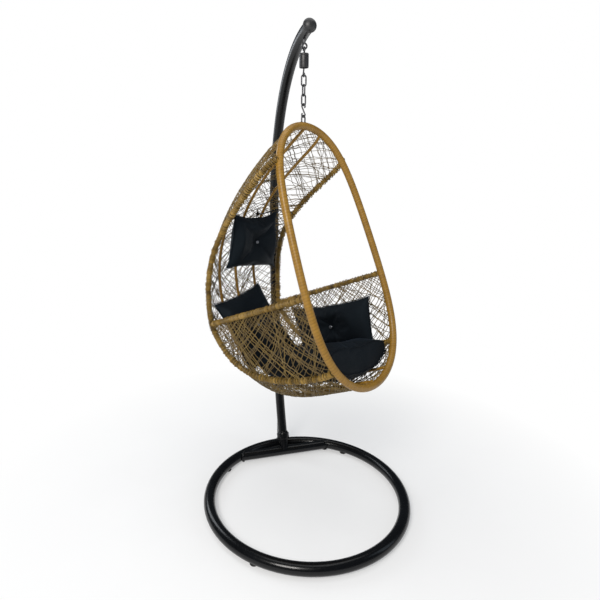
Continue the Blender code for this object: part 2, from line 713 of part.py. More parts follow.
def make_pivots(basket_pieces):
    link_top = link_centre(0) + LINK_LENGTH / 2
    pivot("fore_aft_pivot", hang(EYE_BAR_Z), ["spring_upper_hook", "tension_spring", "spring_cover"])
    pivot("spring_slide", hang(SPRING_BOTTOM), ["spring_lower_hook"])
    pivot("side_pivot", hang(link_top), ["chain_link_1"])
    pivot("link_2_pivot", hang(link_centre(1)), ["chain_link_2"])
    pivot("link_3_pivot", hang(link_centre(2)), ["chain_link_3"])
    pivot("s_hook_pivot", hang(HANGER_TOP), ["s_hook"])
    pivot("basket_pivot", hang(HANGER_TOP), basket_pieces)


def main():
    clear_scene()
    paint = make_material("black_powder_coat", BLACK, 0.25, 0.2)
    plastic = make_material("black_plastic", BLACK, 0.5)
    steel = make_material("dark_zinc", STEEL, 0.4, 0.9)
    rubber = make_material("black_rubber", RUBBER, 0.85)
    cane = make_material("honey_cane", CANE, 0.5)
    brown = make_material("brown_weave", WEAVE_BROWN, 0.6)
    fabric = make_material("charcoal_fabric", FABRIC, 0.9)

    ring_cutter = make_base(paint, rubber)
    upper_cutter = make_pole(paint, plastic, ring_cutter)
    make_eye(steel, upper_cutter)
    make_spring_unit(steel, plastic)
    make_chain(steel)

    fixed = set(bpy.data.objects.keys())
    hoop_cutter = make_basket_frame(cane, brown)
    make_hanger(steel, hoop_cutter)
    make_weave(brown)
    make_cushions(fabric)
    made = [obj.name for obj in bpy.data.objects if obj.name not in fixed]
    make_pivots([name for name in made if not bpy.data.objects[name].hide_render])


main()
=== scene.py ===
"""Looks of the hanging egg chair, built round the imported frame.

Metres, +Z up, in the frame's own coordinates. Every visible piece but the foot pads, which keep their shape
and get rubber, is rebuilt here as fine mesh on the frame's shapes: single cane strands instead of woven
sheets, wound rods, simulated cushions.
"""

import json
import math

import bpy
import numpy as np
from mathutils import Matrix, Vector

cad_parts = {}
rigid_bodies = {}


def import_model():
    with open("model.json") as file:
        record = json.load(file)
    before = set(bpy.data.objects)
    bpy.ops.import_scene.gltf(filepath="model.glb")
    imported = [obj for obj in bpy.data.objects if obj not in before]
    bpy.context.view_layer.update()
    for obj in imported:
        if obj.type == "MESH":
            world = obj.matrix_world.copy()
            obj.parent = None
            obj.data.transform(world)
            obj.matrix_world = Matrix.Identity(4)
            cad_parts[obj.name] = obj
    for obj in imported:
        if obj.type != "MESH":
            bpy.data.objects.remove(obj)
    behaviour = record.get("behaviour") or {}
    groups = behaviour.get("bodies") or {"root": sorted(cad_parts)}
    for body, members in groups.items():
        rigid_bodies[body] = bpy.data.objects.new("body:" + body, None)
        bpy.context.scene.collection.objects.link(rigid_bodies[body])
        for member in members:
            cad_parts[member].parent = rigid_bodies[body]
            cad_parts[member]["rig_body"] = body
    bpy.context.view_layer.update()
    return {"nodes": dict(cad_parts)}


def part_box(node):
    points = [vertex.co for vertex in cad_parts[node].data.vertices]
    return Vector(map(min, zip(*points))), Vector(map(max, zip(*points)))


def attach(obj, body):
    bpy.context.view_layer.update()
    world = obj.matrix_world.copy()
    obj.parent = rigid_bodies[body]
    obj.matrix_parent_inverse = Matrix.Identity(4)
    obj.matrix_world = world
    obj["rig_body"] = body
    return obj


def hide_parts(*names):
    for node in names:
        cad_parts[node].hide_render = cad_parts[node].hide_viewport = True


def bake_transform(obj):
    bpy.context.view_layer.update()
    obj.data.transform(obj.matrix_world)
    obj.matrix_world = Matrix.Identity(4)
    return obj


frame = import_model()

# ---- stand ----
RING_TUBE = 0.0245
CROSSBAR_BACK = 0.3555       # behind the ring's centre
CROSSBAR_TUBE = 0.0225
POLE_TUBE = 0.0225
STRUT_TUBE = 0.019
STRUT_TOP = 0.222
POLE_BOW = 0.566
SEAM_Z = 1.200
SEAM_GAP = 0.0006
LOWER_POLE = [(0.3555, 0.030), (0.490, 0.300), (POLE_BOW, 0.750), (POLE_BOW, SEAM_Z - 0.02)]
UPPER_POLE = [(POLE_BOW, SEAM_Z + 0.02), (POLE_BOW, 1.620), (0.350, 1.945), (0.036, 1.972)]

# ---- hanging line ----
WIRE = 0.003
WIRE_TIP = [WIRE * 0.55, WIRE * 0.9]      # how a cut wire's last points taper
EYE_WIRE = 0.0035
EYE_RADIUS = 0.0105
EYE_BAR_Z = 1.9035
CONTACT = 2 * WIRE + 0.0003
LINK_LENGTH = 0.0485
LINK_WIDTH = 0.024
LINK_TOP_CENTRE = 1.787
SPRING_TOP = 1.880
SPRING_BOTTOM = 1.8385
SPRING_RADIUS = 0.0105
SPRING_WIRE = 0.0018
SPRING_TURNS = 7
HOOK_TOP_RADIUS = 0.0085
HOOK_LOW_RADIUS = 0.0075
S_HOOK_RADIUS = 0.009
SLEEVE_RADIUS = 0.0185
SLEEVE_DROP = 0.046
HANGER_TOP = 1.6555
HANGER_RADIUS = 0.011

# ---- basket ----
YAW = math.radians(36.0)
TILT = math.radians(20.2)
HOOP_TOP_Z = 1.6153
HOOP_HALF_HEIGHT = 0.534
HOOP_TUBE = 0.015
SIDE_ROD = 0.009
ARM_ROD = 0.008
RIB_ROD = 0.0065
ARM_DROP = 0.657
ARM_BOW = 0.012
ROD_UPPER = [(0.138, 0.2085, 0.0), (0.148, 0.335, 0.004), (0.284, 0.115, 0.386),
             (0.295, 0.273, 0.496), (0.686, 0.232, 0.588)]
ROD_LOWER = [(0.686, 0.232, 0.588), (0.990, 0.233, 0.520), (0.959, 0.237, 0.304),
             (0.983, 0.237, 0.032), (0.939, 0.231, 0.0)]
SPINE = [(0.0, 0.0), (0.164, 0.454), (0.309, 0.711), (0.643, 0.725),
         (0.988, 0.635), (1.163, 0.511), (1.077, 0.322), (1.068, 0.0)]
ROD_STATIONS = 97
# cushion corners as (down, side, back): top left, top right, low left, low right as their user sees them
HEAD_CORNERS = [(0.258, -0.170, 0.330), (0.268, 0.095, 0.336), (0.456, -0.160, 0.466), (0.490, 0.160, 0.490)]
RIGHT_CORNERS = [(0.596, -0.218, 0.550), (0.554, 0.050, 0.520), (0.915, -0.202, 0.458), (0.900, 0.108, 0.438)]
LEFT_CORNERS = [(0.722, 0.200, 0.480), (0.742, 0.200, 0.042), (0.960, 0.172, 0.460), (0.942, 0.182, 0.070)]
SEAT_CORNERS = [(0.880, -0.190, 0.400), (0.962, 0.120, 0.395), (0.905, -0.200, 0.024), (0.960, 0.180, 0.024)]
CLOTH_CELL = 0.0085          # size of the simulated cloth's quads
FIRST_SWELL = 0.004          # how far the two flat faces stand apart before they are blown up
PRESSURE = 4.0
SEAT_SAG = 0.026             # how far the middle of the seat cushion hangs below its corners

# ---- cane strands ----
STRAND = 0.0016              # half width of a strand in the side walls
THIN_STRAND = 0.0012         # the same in the roof and back
STEP = 0.010                 # spacing of the points along a strand
NET_SPACING = 0.0125         # strands of the roof and back
WALL_SPACING = 0.0122        # strands of the side walls
WALL_END = 0.035             # a wall strand stops where the wall is lower than this
HOOP_PITCH = 0.0115          # widths of the wound strips
RIB_PITCH = 0.009
ROD_PITCH = 0.0056           # turns of strand on the side rods
ARM_PITCH = 0.0054
PANEL_TO_RIB = 0.005         # from the sheet's middle to the near side of a rib
STRIP_RISE = [0.0, 0.72, 1.0, 0.72]       # section of a wound strip, from one groove to the next
# painted shade along the same section: darkest in the groove, lightest on the strip's crown
STRIP_PAINTED_SHADE = [0.34, 0.48, 0.54, 0.50]

# ---- the stand's places, read from the frame ----
ring_low, ring_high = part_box("base_ring")
RING_RADIUS = (ring_high.x - ring_low.x) / 2 - RING_TUBE
RING_Y = (ring_high.y + ring_low.y) / 2
FOOT_LIFT = ring_low.z
eye_low, eye_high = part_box("pole_eye")
HANG_BACK = (eye_low.y + eye_high.y) / 2 - RING_Y


# ---- places

def stand(x, back, z):
    """A point of the stand: x, distance behind the ring's centre, height over the ring's underside."""
    return Vector((x, RING_Y + back, z + FOOT_LIFT))


def hang(z, x=0.0, y=0.0):
    """A point of the hanging line at height z, or beside it by x and y."""
    return stand(x, HANG_BACK + y, z)


FORWARD = Vector((math.sin(YAW), -math.cos(YAW), 0.0))
SIDE = Vector((math.cos(YAW), math.sin(YAW), 0.0))
UP = Vector((0.0, 0.0, 1.0))
DOWN = FORWARD * math.sin(TILT) - UP * math.cos(TILT)
BACK = -FORWARD * math.cos(TILT) - UP * math.sin(TILT)
HOOP_TOP = hang(HOOP_TOP_Z)


def basket(down, side, back):
    """A point of the basket: down the hoop from its top, to the side, and behind the hoop's plane."""
    return HOOP_TOP + DOWN * down + SIDE * side + BACK * back


INSIDE = basket(0.55, 0.0, 0.22)          # a point in the middle of the egg


def bezier(points, t):
    """The point at t (0 to 1) of a Bezier curve of any degree."""
    points = [np.array(p, float) for p in points]
    while len(points) > 1:
        points = [a + (b - a) * t for a, b in zip(points, points[1:])]
    return points[0]


def even(points, count):
    """The same line with its points spaced evenly along it."""
    points = np.array(points, float)
    length = np.concatenate([[0.0], np.cumsum(np.linalg.norm(np.diff(points, axis=0), axis=1))])
    where = np.linspace(0.0, length[-1], count)
    return np.stack([np.interp(where, length, points[:, k]) for k in range(points.shape[1])], axis=1)


def line_length(points):
    points = np.array(points, float)
    return float(np.linalg.norm(np.diff(points, axis=0), axis=1).sum())


def smooth(x):
    """0 below 0 and 1 above 1, with an S-curve between."""
    x = min(max(x, 0.0), 1.0)
    return x * x * (3 - 2 * x)


# ---- mesh building

def mesh_object(name, points, faces):
    mesh = bpy.data.meshes.new(name)
    mesh.from_pydata([tuple(p) for p in points], [], faces)
    obj = bpy.data.objects.new(name, mesh)
    bpy.context.scene.collection.objects.link(obj)
    return obj


class Shape:
    """Vertices and faces of one piece, gathered from many sweeps, with a tone for each vertex."""

    def __init__(self):
        self.verts = []
        self.faces = []
        self.tones = []
        self.count = 0

    def add(self, verts, faces, tone=0.5):
        verts = np.asarray(verts, float).reshape(-1, 3)
        self.verts.append(verts)
        self.faces += [[i + self.count for i in face] for face in faces]
        self.tones.append(np.broadcast_to(np.asarray(tone, float), len(verts)))
        self.count += len(verts)

    def build(self, name, material, body, nodes=(), angle=50.0):
        obj = mesh_object(name, np.concatenate(self.verts), self.faces)
        mesh = obj.data
        tone = mesh.attributes.new("tone", "FLOAT", "POINT")
        tone.data.foreach_set("value", np.concatenate(self.tones).astype(np.float32))
        mesh.materials.append(material)
        mesh.shade_smooth()
        mesh.set_sharp_from_angle(angle=math.radians(angle))
        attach(obj, body)
        if nodes:
            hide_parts(*nodes)
        return obj


def transport(points, closed=False, first=None):
    """A side vector and an up vector at each point of a line, turning as little as possible."""
    points = np.asarray(points, float)
    if closed:
        steps = np.roll(points, -1, axis=0) - points
    else:
        steps = np.vstack([np.diff(points, axis=0), points[-1:] - points[-2:-1]])
    steps /= np.linalg.norm(steps, axis=1)[:, None]
    tangents = steps + np.roll(steps, 1, axis=0)
    if not closed:
        tangents[0] = steps[0]
    tangents /= np.linalg.norm(tangents, axis=1)[:, None]
    side = np.array(first if first is not None else Vector(tangents[0]).orthogonal(), float)
    sides = []
    for tangent in tangents:
        side = side - tangent * side.dot(tangent)
        side = side / np.linalg.norm(side)
        sides.append(side)
    sides = np.array(sides)
    return sides, np.cross(tangents, sides), tangents


def tube_faces(count, sides, closed):
    """Quads between count rings of points, and one face on each end of an open tube."""
    faces = []
    for i in range(count if closed else count - 1):
        n = (i + 1) % count
        for k in range(sides):
            m = (k + 1) % sides
            faces.append((i * sides + k, i * sides + m, n * sides + m, n * sides + k))
    if not closed:
        faces.append(tuple(range(sides))[::-1])
        faces.append(tuple((count - 1) * sides + k for k in range(sides)))
    return faces


def sweep(shape, points, radius, sides=12, closed=False, first=None, tone=0.5):
    """A round bar along points; radius is one number or one for each point."""
    points = np.asarray([tuple(p) for p in points], float)
    across, up, _ = transport(points, closed, first)
    radii = np.broadcast_to(np.asarray(radius, float), len(points))
    angles = 2 * math.pi * np.arange(sides) / sides
    ring = across[:, None, :] * np.cos(angles)[None, :, None] + up[:, None, :] * np.sin(angles)[None, :, None]
    shape.add(points[:, None, :] + ring * radii[:, None, None], tube_faces(len(points), sides, closed), tone)
    return shape


def turned(shape, profile, place, sides=48, closed=False):
    """A body turned about place's Z axis. profile is (radius, height) from end to end, bottom first."""
    place = np.array(place)
    angles = 2 * math.pi * np.arange(sides) / sides
    verts = [(wide * math.cos(a), wide * math.sin(a), height) for wide, height in profile for a in angles]
    verts = np.array(verts) @ place[:3, :3].T + place[:3, 3]
    shape.add(verts, tube_faces(len(profile), sides, closed))
    return shape


def rounded(profile, size=0.001, steps=3):
    """A profile whose inner corners are rounded by size."""
    out = [profile[0]]
    for a, b, c in zip(profile, profile[1:], profile[2:]):
        a, b, c = np.array(a), np.array(b), np.array(c)
        start, end = (b + (side - b) * min(size / max(math.dist(side, b), 1e-9), 1 / 2.2) for side in (a, c))
        for k in range(steps + 1):
            t = k / steps
            out.append(tuple(start * (1 - t) ** 2 + b * 2 * t * (1 - t) + end * t * t))
    out.append(profile[-1])
    return out


def facing(direction, origin):
    """A placing that brings +Z to a direction, at an origin."""
    turn = Vector(direction).to_track_quat("Z", "X").to_matrix().to_4x4()
    return Matrix.Translation(Vector(origin)) @ turn


def weld(shape, centre, direction, radius, size, seed):
    """A rippled bead round a tube's end: centre and direction of the tube, radius of the bead's line."""
    rng = np.random.default_rng(seed)
    place = np.array(facing(direction, centre))
    angles = np.linspace(0, 2 * math.pi, 73)[:-1]
    line = np.stack([radius * np.cos(angles), radius * np.sin(angles), 0 * angles], axis=1)
    line = line @ place[:3, :3].T + place[:3, 3]
    sizes = size * (1 + 0.16 * np.sin(angles * 24) + rng.normal(0, 0.04, len(angles)))
    return sweep(shape, line, sizes, 8, closed=True, first=tuple(direction))


# ---- materials


def new_material(name):
    material = bpy.data.materials.new(name)
    material.use_nodes = True
    tree = material.node_tree
    return material, tree, tree.nodes["Principled BSDF"]


def link(output, socket):
    socket.id_data.links.new(output, socket)


def add_node(tree, kind, values=None, **settings):
    node = tree.nodes.new(kind)
    for key, value in settings.items():
        setattr(node, key, value)
    for key, value in (values or {}).items():
        node.inputs[key].default_value = value
    return node


def noise(tree, scale, detail=3.0, rough=0.55, vector=None):
    node = add_node(tree, "ShaderNodeTexNoise", {"Scale": scale, "Detail": detail, "Roughness": rough})
    if vector is None:
        vector = add_node(tree, "ShaderNodeTexCoord").outputs["Object"]
    link(vector, node.inputs["Vector"])
    return node.outputs["Fac"]


def ramp(tree, value, stops):
    """stops are (place, colour or grey)."""
    node = add_node(tree, "ShaderNodeValToRGB")
    while len(node.color_ramp.elements) < len(stops):
        node.color_ramp.elements.new(0.5)
    for element, (place, colour) in zip(node.color_ramp.elements, stops):
        element.position = place
        if isinstance(colour, (int, float)):
            colour = (colour, colour, colour)
        element.color = (*colour, 1.0)
    link(value, node.inputs["Fac"])
    return node.outputs["Color"]


def mix(tree, fac, a, b, blend="MIX"):
    node = add_node(tree, "ShaderNodeMix", data_type="RGBA", blend_type=blend)
    for socket, value in ((node.inputs[0], fac), (node.inputs[6], a), (node.inputs[7], b)):
        if isinstance(value, bpy.types.NodeSocket):
            link(value, socket)
        elif isinstance(value, tuple):
            socket.default_value = (*value, 1.0)
        else:
            socket.default_value = value
    return node.outputs[2]


def bump(tree, shader, height, strength, distance, under=None):
    node = add_node(tree, "ShaderNodeBump", {"Strength": strength, "Distance": distance})
    link(height, node.inputs["Height"])
    if under is not None:
        link(under, node.inputs["Normal"])
    link(node.outputs["Normal"], shader.inputs["Normal"])
    return node.outputs["Normal"]


def settle(shader, values):
    for name, value in values.items():
        shader.inputs[name].default_value = value


def noise_material(name, colour, rough, bumps, values=None):
    """colour and rough are noise's (scale, detail, grain, stops); bumps' (scale, detail, strength, depth)."""
    material, tree, shader = new_material(name)
    for socket, (scale, detail, grain, stops) in (("Base Color", colour), ("Roughness", rough)):
        link(ramp(tree, noise(tree, scale, detail, grain), stops), shader.inputs[socket])
    under = None
    for scale, detail, strength, depth in bumps:
        under = bump(tree, shader, noise(tree, scale, detail), strength, depth, under)
    settle(shader, values or {})
    return material


def powder_coat():
    return noise_material(
        "gloss_black_powder_coat",
        (9.0, 4.0, 0.55, [(0.35, (0.0020, 0.0022, 0.0027)), (0.7, (0.0040, 0.0045, 0.0055))]),
        (60.0, 6.0, 0.7, [(0.3, 0.20), (0.62, 0.28), (0.8, 0.40)]),
        [(420.0, 2.0, 0.06, 0.0004), (30.0, 2.0, 0.05, 0.002)],
        {"Specular IOR Level": 0.24, "Coat Weight": 0.15, "Coat Roughness": 0.10})


def moulded_plastic():
    return noise_material(
        "moulded_black_plastic",
        (25.0, 3.0, 0.55, [(0.3, (0.010, 0.010, 0.011)), (0.7, (0.018, 0.018, 0.020))]),
        (130.0, 5.0, 0.55, [(0.3, 0.38), (0.7, 0.55)]), [(900.0, 2.0, 0.18, 0.0003)])


def button_metal():
    return noise_material(
        "gunmetal_button", (260.0, 4.0, 0.55, [(0.3, (0.10, 0.11, 0.13)), (0.7, (0.19, 0.20, 0.22))]),
        (500.0, 3.0, 0.55, [(0.3, 0.22), (0.7, 0.36)]), [(1200.0, 2.0, 0.12, 0.0002)], {"Metallic": 0.7})


def pad_rubber():
    return noise_material(
        "matt_rubber", (80.0, 5.0, 0.55, [(0.3, (0.012, 0.012, 0.012)), (0.75, (0.03, 0.029, 0.028))]),
        (200.0, 3.0, 0.55, [(0.3, 0.75), (0.7, 0.92)]), [(700.0, 3.0, 0.3, 0.0004)])


def zinc_steel():
    return noise_material(
        "dark_zinc_steel",
        (160.0, 5.0, 0.7, [(0.3, (0.035, 0.036, 0.039)), (0.55, (0.09, 0.09, 0.095)),
                           (0.8, (0.17, 0.165, 0.16))]),
        (300.0, 4.0, 0.55, [(0.3, 0.28), (0.75, 0.55)]), [(900.0, 3.0, 0.25, 0.0003)], {"Metallic": 0.85})


def cane_material(name, dark, middle, light, groove, shine):
    """Wound or woven cane. tone is 0.5 on a strand; lower values darken it, and the lowest colour is painted
    shade, as in a groove.
    """
    material, tree, shader = new_material(name)
    tone = add_node(tree, "ShaderNodeAttribute", attribute_name="tone").outputs["Fac"]
    spread = add_node(tree, "ShaderNodeMath", {1: 0.35, 2: -0.175}, operation="MULTIPLY_ADD")
    link(noise(tree, 26.0, 4.0), spread.inputs[0])
    shade = add_node(tree, "ShaderNodeMath", operation="ADD")
    link(spread.outputs[0], shade.inputs[0])
    link(tone, shade.inputs[1])
    # the lowest stop is painted shade for grooves and the gaps between turns
    colour = ramp(tree, shade.outputs[0], [(0.0, groove), (0.3, dark), (0.55, middle), (0.9, light)])
    fleck = ramp(tree, noise(tree, 420.0, 5.0, 0.7), [(0.35, 0.78), (0.6, 1.0), (0.8, 1.12)])
    link(mix(tree, 1.0, colour, fleck, "MULTIPLY"), shader.inputs["Base Color"])
    rough = ramp(tree, noise(tree, 120.0, 4.0), [(0.3, shine), (0.75, shine + 0.2)])
    link(rough, shader.inputs["Roughness"])
    bump(tree, shader, noise(tree, 1100.0, 3.0), 0.22, 0.0003)
    settle(shader, {"Specular IOR Level": 0.35, "Coat Weight": 0.08, "Coat Roughness": 0.30})
    return material


def cushion_cloth():
    """Charcoal plain weave: threads run along the cloth's own directions, kept in the rest attribute."""
    material, tree, shader = new_material("charcoal_cloth")
    rest = add_node(tree, "ShaderNodeAttribute", attribute_name="rest").outputs["Vector"]
    threads = add_node(tree, "ShaderNodeMath", operation="MAXIMUM")
    for number, way in enumerate("XY"):
        thread = {"Scale": 190.0, "Distortion": 0.6, "Detail": 2.0, "Detail Scale": 2.0}
        wave = add_node(tree, "ShaderNodeTexWave", thread, bands_direction=way)
        link(rest, wave.inputs["Vector"])
        link(wave.outputs["Fac"], threads.inputs[number])
    yarn = ramp(tree, threads.outputs[0], [(0.2, (0.0015, 0.0017, 0.0020)), (1.0, (0.0042, 0.0051, 0.0064))])
    # large random patches, lighter and bluer: partly melange in the yarn, partly painted sheen
    melange_and_painted_sheen = ramp(tree, noise(tree, 7.0, 4.0, 0.6, rest), [(0.3, (0.72, 0.72, 0.75)), (0.7, (1.15, 1.3, 1.5))])
    slub = ramp(tree, noise(tree, 330.0, 4.0, 0.7, rest), [(0.35, 0.8), (0.7, 1.2)])
    colour = mix(tree, 1.0, mix(tree, 1.0, yarn, melange_and_painted_sheen, "MULTIPLY"), slub, "MULTIPLY")
    link(colour, shader.inputs["Base Color"])
    rough = ramp(tree, noise(tree, 14.0, 3.0, 0.5, rest), [(0.3, 0.62), (0.7, 0.78)])
    link(rough, shader.inputs["Roughness"])
    weave = bump(tree, shader, threads.outputs[0], 0.35, 0.0004)
    bump(tree, shader, noise(tree, 45.0, 4.0, 0.6, rest), 0.25, 0.0016, weave)
    settle(shader, {"Specular IOR Level": 0.20, "Specular Tint": (0.60, 0.82, 1.0, 1.0), "Sheen Weight": 0.03,
                    "Sheen Roughness": 0.35, "Sheen Tint": (0.35, 0.55, 0.85, 1.0)})
    return material


# ---- stand

def pole_line(curve, count, lo=0.0, hi=1.0):
    return [stand(0.0, *bezier(curve, lo + (hi - lo) * k / (count - 1))) for k in range(count)]


def make_ring(paint):
    angles = np.linspace(0, 2 * math.pi, 161)[:-1]
    line = [stand(RING_RADIUS * math.sin(a), RING_RADIUS * math.cos(a), RING_TUBE) for a in angles]
    shape = sweep(Shape(), line, RING_TUBE, 36, closed=True, first=UP)
    # ground butt weld where the rolled pipe meets itself
    seam = stand(0.0, RING_RADIUS, RING_TUBE)
    weld(shape, seam + Vector((0.03, 0, 0)), (1, 0, 0), RING_TUBE - 0.0004, 0.0011, 3)
    shape.build("ring_pipe", paint, "stand", ["base_ring"])

    half = math.sqrt(RING_RADIUS ** 2 - CROSSBAR_BACK ** 2)
    reach = half - RING_TUBE * 0.55
    line = [stand(x, CROSSBAR_BACK, RING_TUBE) for x in np.linspace(-reach, reach, 9)]
    shape = sweep(Shape(), line, CROSSBAR_TUBE, 36, first=UP)
    for sign in (-1, 1):
        # the bead lies on the ring's slanting side
        lean = Vector((sign * 0.83, 0.56, 0.0))
        weld(shape, stand(sign * (half - RING_TUBE * 1.12), CROSSBAR_BACK - 0.004, RING_TUBE), lean,
             CROSSBAR_TUBE * 1.06, 0.0032, 5 + sign)
    shape.build("crossbar_pipe", paint, "stand", ["base_crossbar"])


def make_pole(paint, plastic):
    lower = pole_line(LOWER_POLE, 60) + [stand(0.0, POLE_BOW, SEAM_Z - SEAM_GAP / 2)]
    upper = [stand(0.0, POLE_BOW, SEAM_Z + SEAM_GAP / 2)] + pole_line(UPPER_POLE, 80)
    for name, line, hidden in (("lower", lower, ["pole_joint_core"]), ("upper", upper, [])):
        pipe = sweep(Shape(), line, POLE_TUBE, 36, first=(1, 0, 0))
        pipe.build("pole_%s_section" % name, paint, "stand", [name + "_pole"] + hidden)

    strut = [stand(0.0, RING_RADIUS, z) for z in np.linspace(RING_TUBE * 1.6, STRUT_TOP - 0.012, 8)]
    shape = sweep(Shape(), strut, STRUT_TUBE, 32, first=(1, 0, 0))
    weld(shape, stand(0.0, RING_RADIUS, RING_TUBE * 1.93), (0, 0, 1), STRUT_TUBE * 1.04, 0.0032, 11)
    shape.build("strut_pipe", paint, "stand", ["rear_strut"])

    foot = pole_line(LOWER_POLE, 2, 0.06, 0.085)
    axis = (foot[1] - foot[0]).normalized()
    profile = rounded([(POLE_TUBE - 0.002, -0.028), (0.031, -0.028), (0.031, 0.001), (0.027, 0.006),
                       (POLE_TUBE + 0.0005, 0.008)], 0.0025, 4)
    shape = turned(Shape(), profile, facing(axis, foot[1]))
    weld(shape, foot[1] + axis * 0.0078, axis, POLE_TUBE + 0.0012, 0.0019, 17)
    shape.build("pole_foot_weld_collar", paint, "stand", ["pole_foot_collar"])

    # end cap with a flange, two steps and a shallow dome
    axis = (upper[-1] - upper[-2]).normalized()
    profile = rounded([(POLE_TUBE - 0.003, -0.004), (POLE_TUBE - 0.003, 0.0), (POLE_TUBE + 0.0045, 0.0),
                       (POLE_TUBE + 0.0045, 0.005), (POLE_TUBE + 0.001, 0.007), (POLE_TUBE - 0.002, 0.015),
                       (0.013, 0.020), (0.006, 0.022), (0.001, 0.0222)], 0.0016, 4)
    turned(Shape(), profile, facing(axis, upper[-1])).build("pole_cap", plastic, "stand", ["pole_end_cap"])


def make_screws(paint):
    """Two pan-head screws with a recess, either side of the pole's seam."""
    for name in ("lower", "upper"):
        low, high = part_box("pole_joint_screw_" + name)
        centre = (low + high) / 2
        foot = Vector((low.x - 0.0008, centre.y, centre.z))
        profile = rounded([(0.0058, 0.0), (0.0060, 0.0012), (0.0052, 0.0030), (0.0036, 0.0040),
                           (0.0030, 0.0040), (0.0022, 0.0022), (0.0004, 0.0016)], 0.0005, 3)
        head = turned(Shape(), profile, facing((1, 0, 0), foot), 32)
        head.build("seam_screw_" + name, paint, "stand", ["pole_joint_screw_" + name])


# ---- hanging line

def arc(centre, across, radius, start, sweep_angle, count):
    """Points of an arc in the plane of across and UP; 0 is along across, 90 degrees is up."""
    out = []
    for k in range(count):
        angle = math.radians(start + sweep_angle * k / (count - 1))
        out.append(centre + across * math.cos(angle) * radius + UP * math.sin(angle) * radius)
    return out


def link_centre(index):
    return LINK_TOP_CENTRE - index * (LINK_LENGTH - 2 * WIRE - CONTACT)


def pole_height_at(back):
    """Height of the pole's centre line over a point behind the ring's centre."""
    low, high = 0.3, 1.0
    for _ in range(40):
        middle = (low + high) / 2
        if bezier(UPPER_POLE, middle)[0] > back:
            low = middle
        else:
            high = middle
    return bezier(UPPER_POLE, low)[1]


def make_eye(steel):
    loop = arc(hang(EYE_BAR_Z + EYE_RADIUS), Vector((1, 0, 0)), EYE_RADIUS, 90, 360, 49)[:-1]
    shape = sweep(Shape(), loop, EYE_WIRE, 16, closed=True, first=(0, 1, 0))
    under = pole_height_at(HANG_BACK) - POLE_TUBE
    shank = [hang(EYE_BAR_Z + 2 * EYE_RADIUS + 0.0005), hang(under + 0.002)]
    sweep(shape, shank, EYE_WIRE + 0.001, 16)
    weld(shape, hang(under - 0.0006), (0, 0, 1), EYE_WIRE + 0.0014, 0.0018, 23)
    shape.build("pole_hanging_eye", steel, "stand", ["pole_eye"])


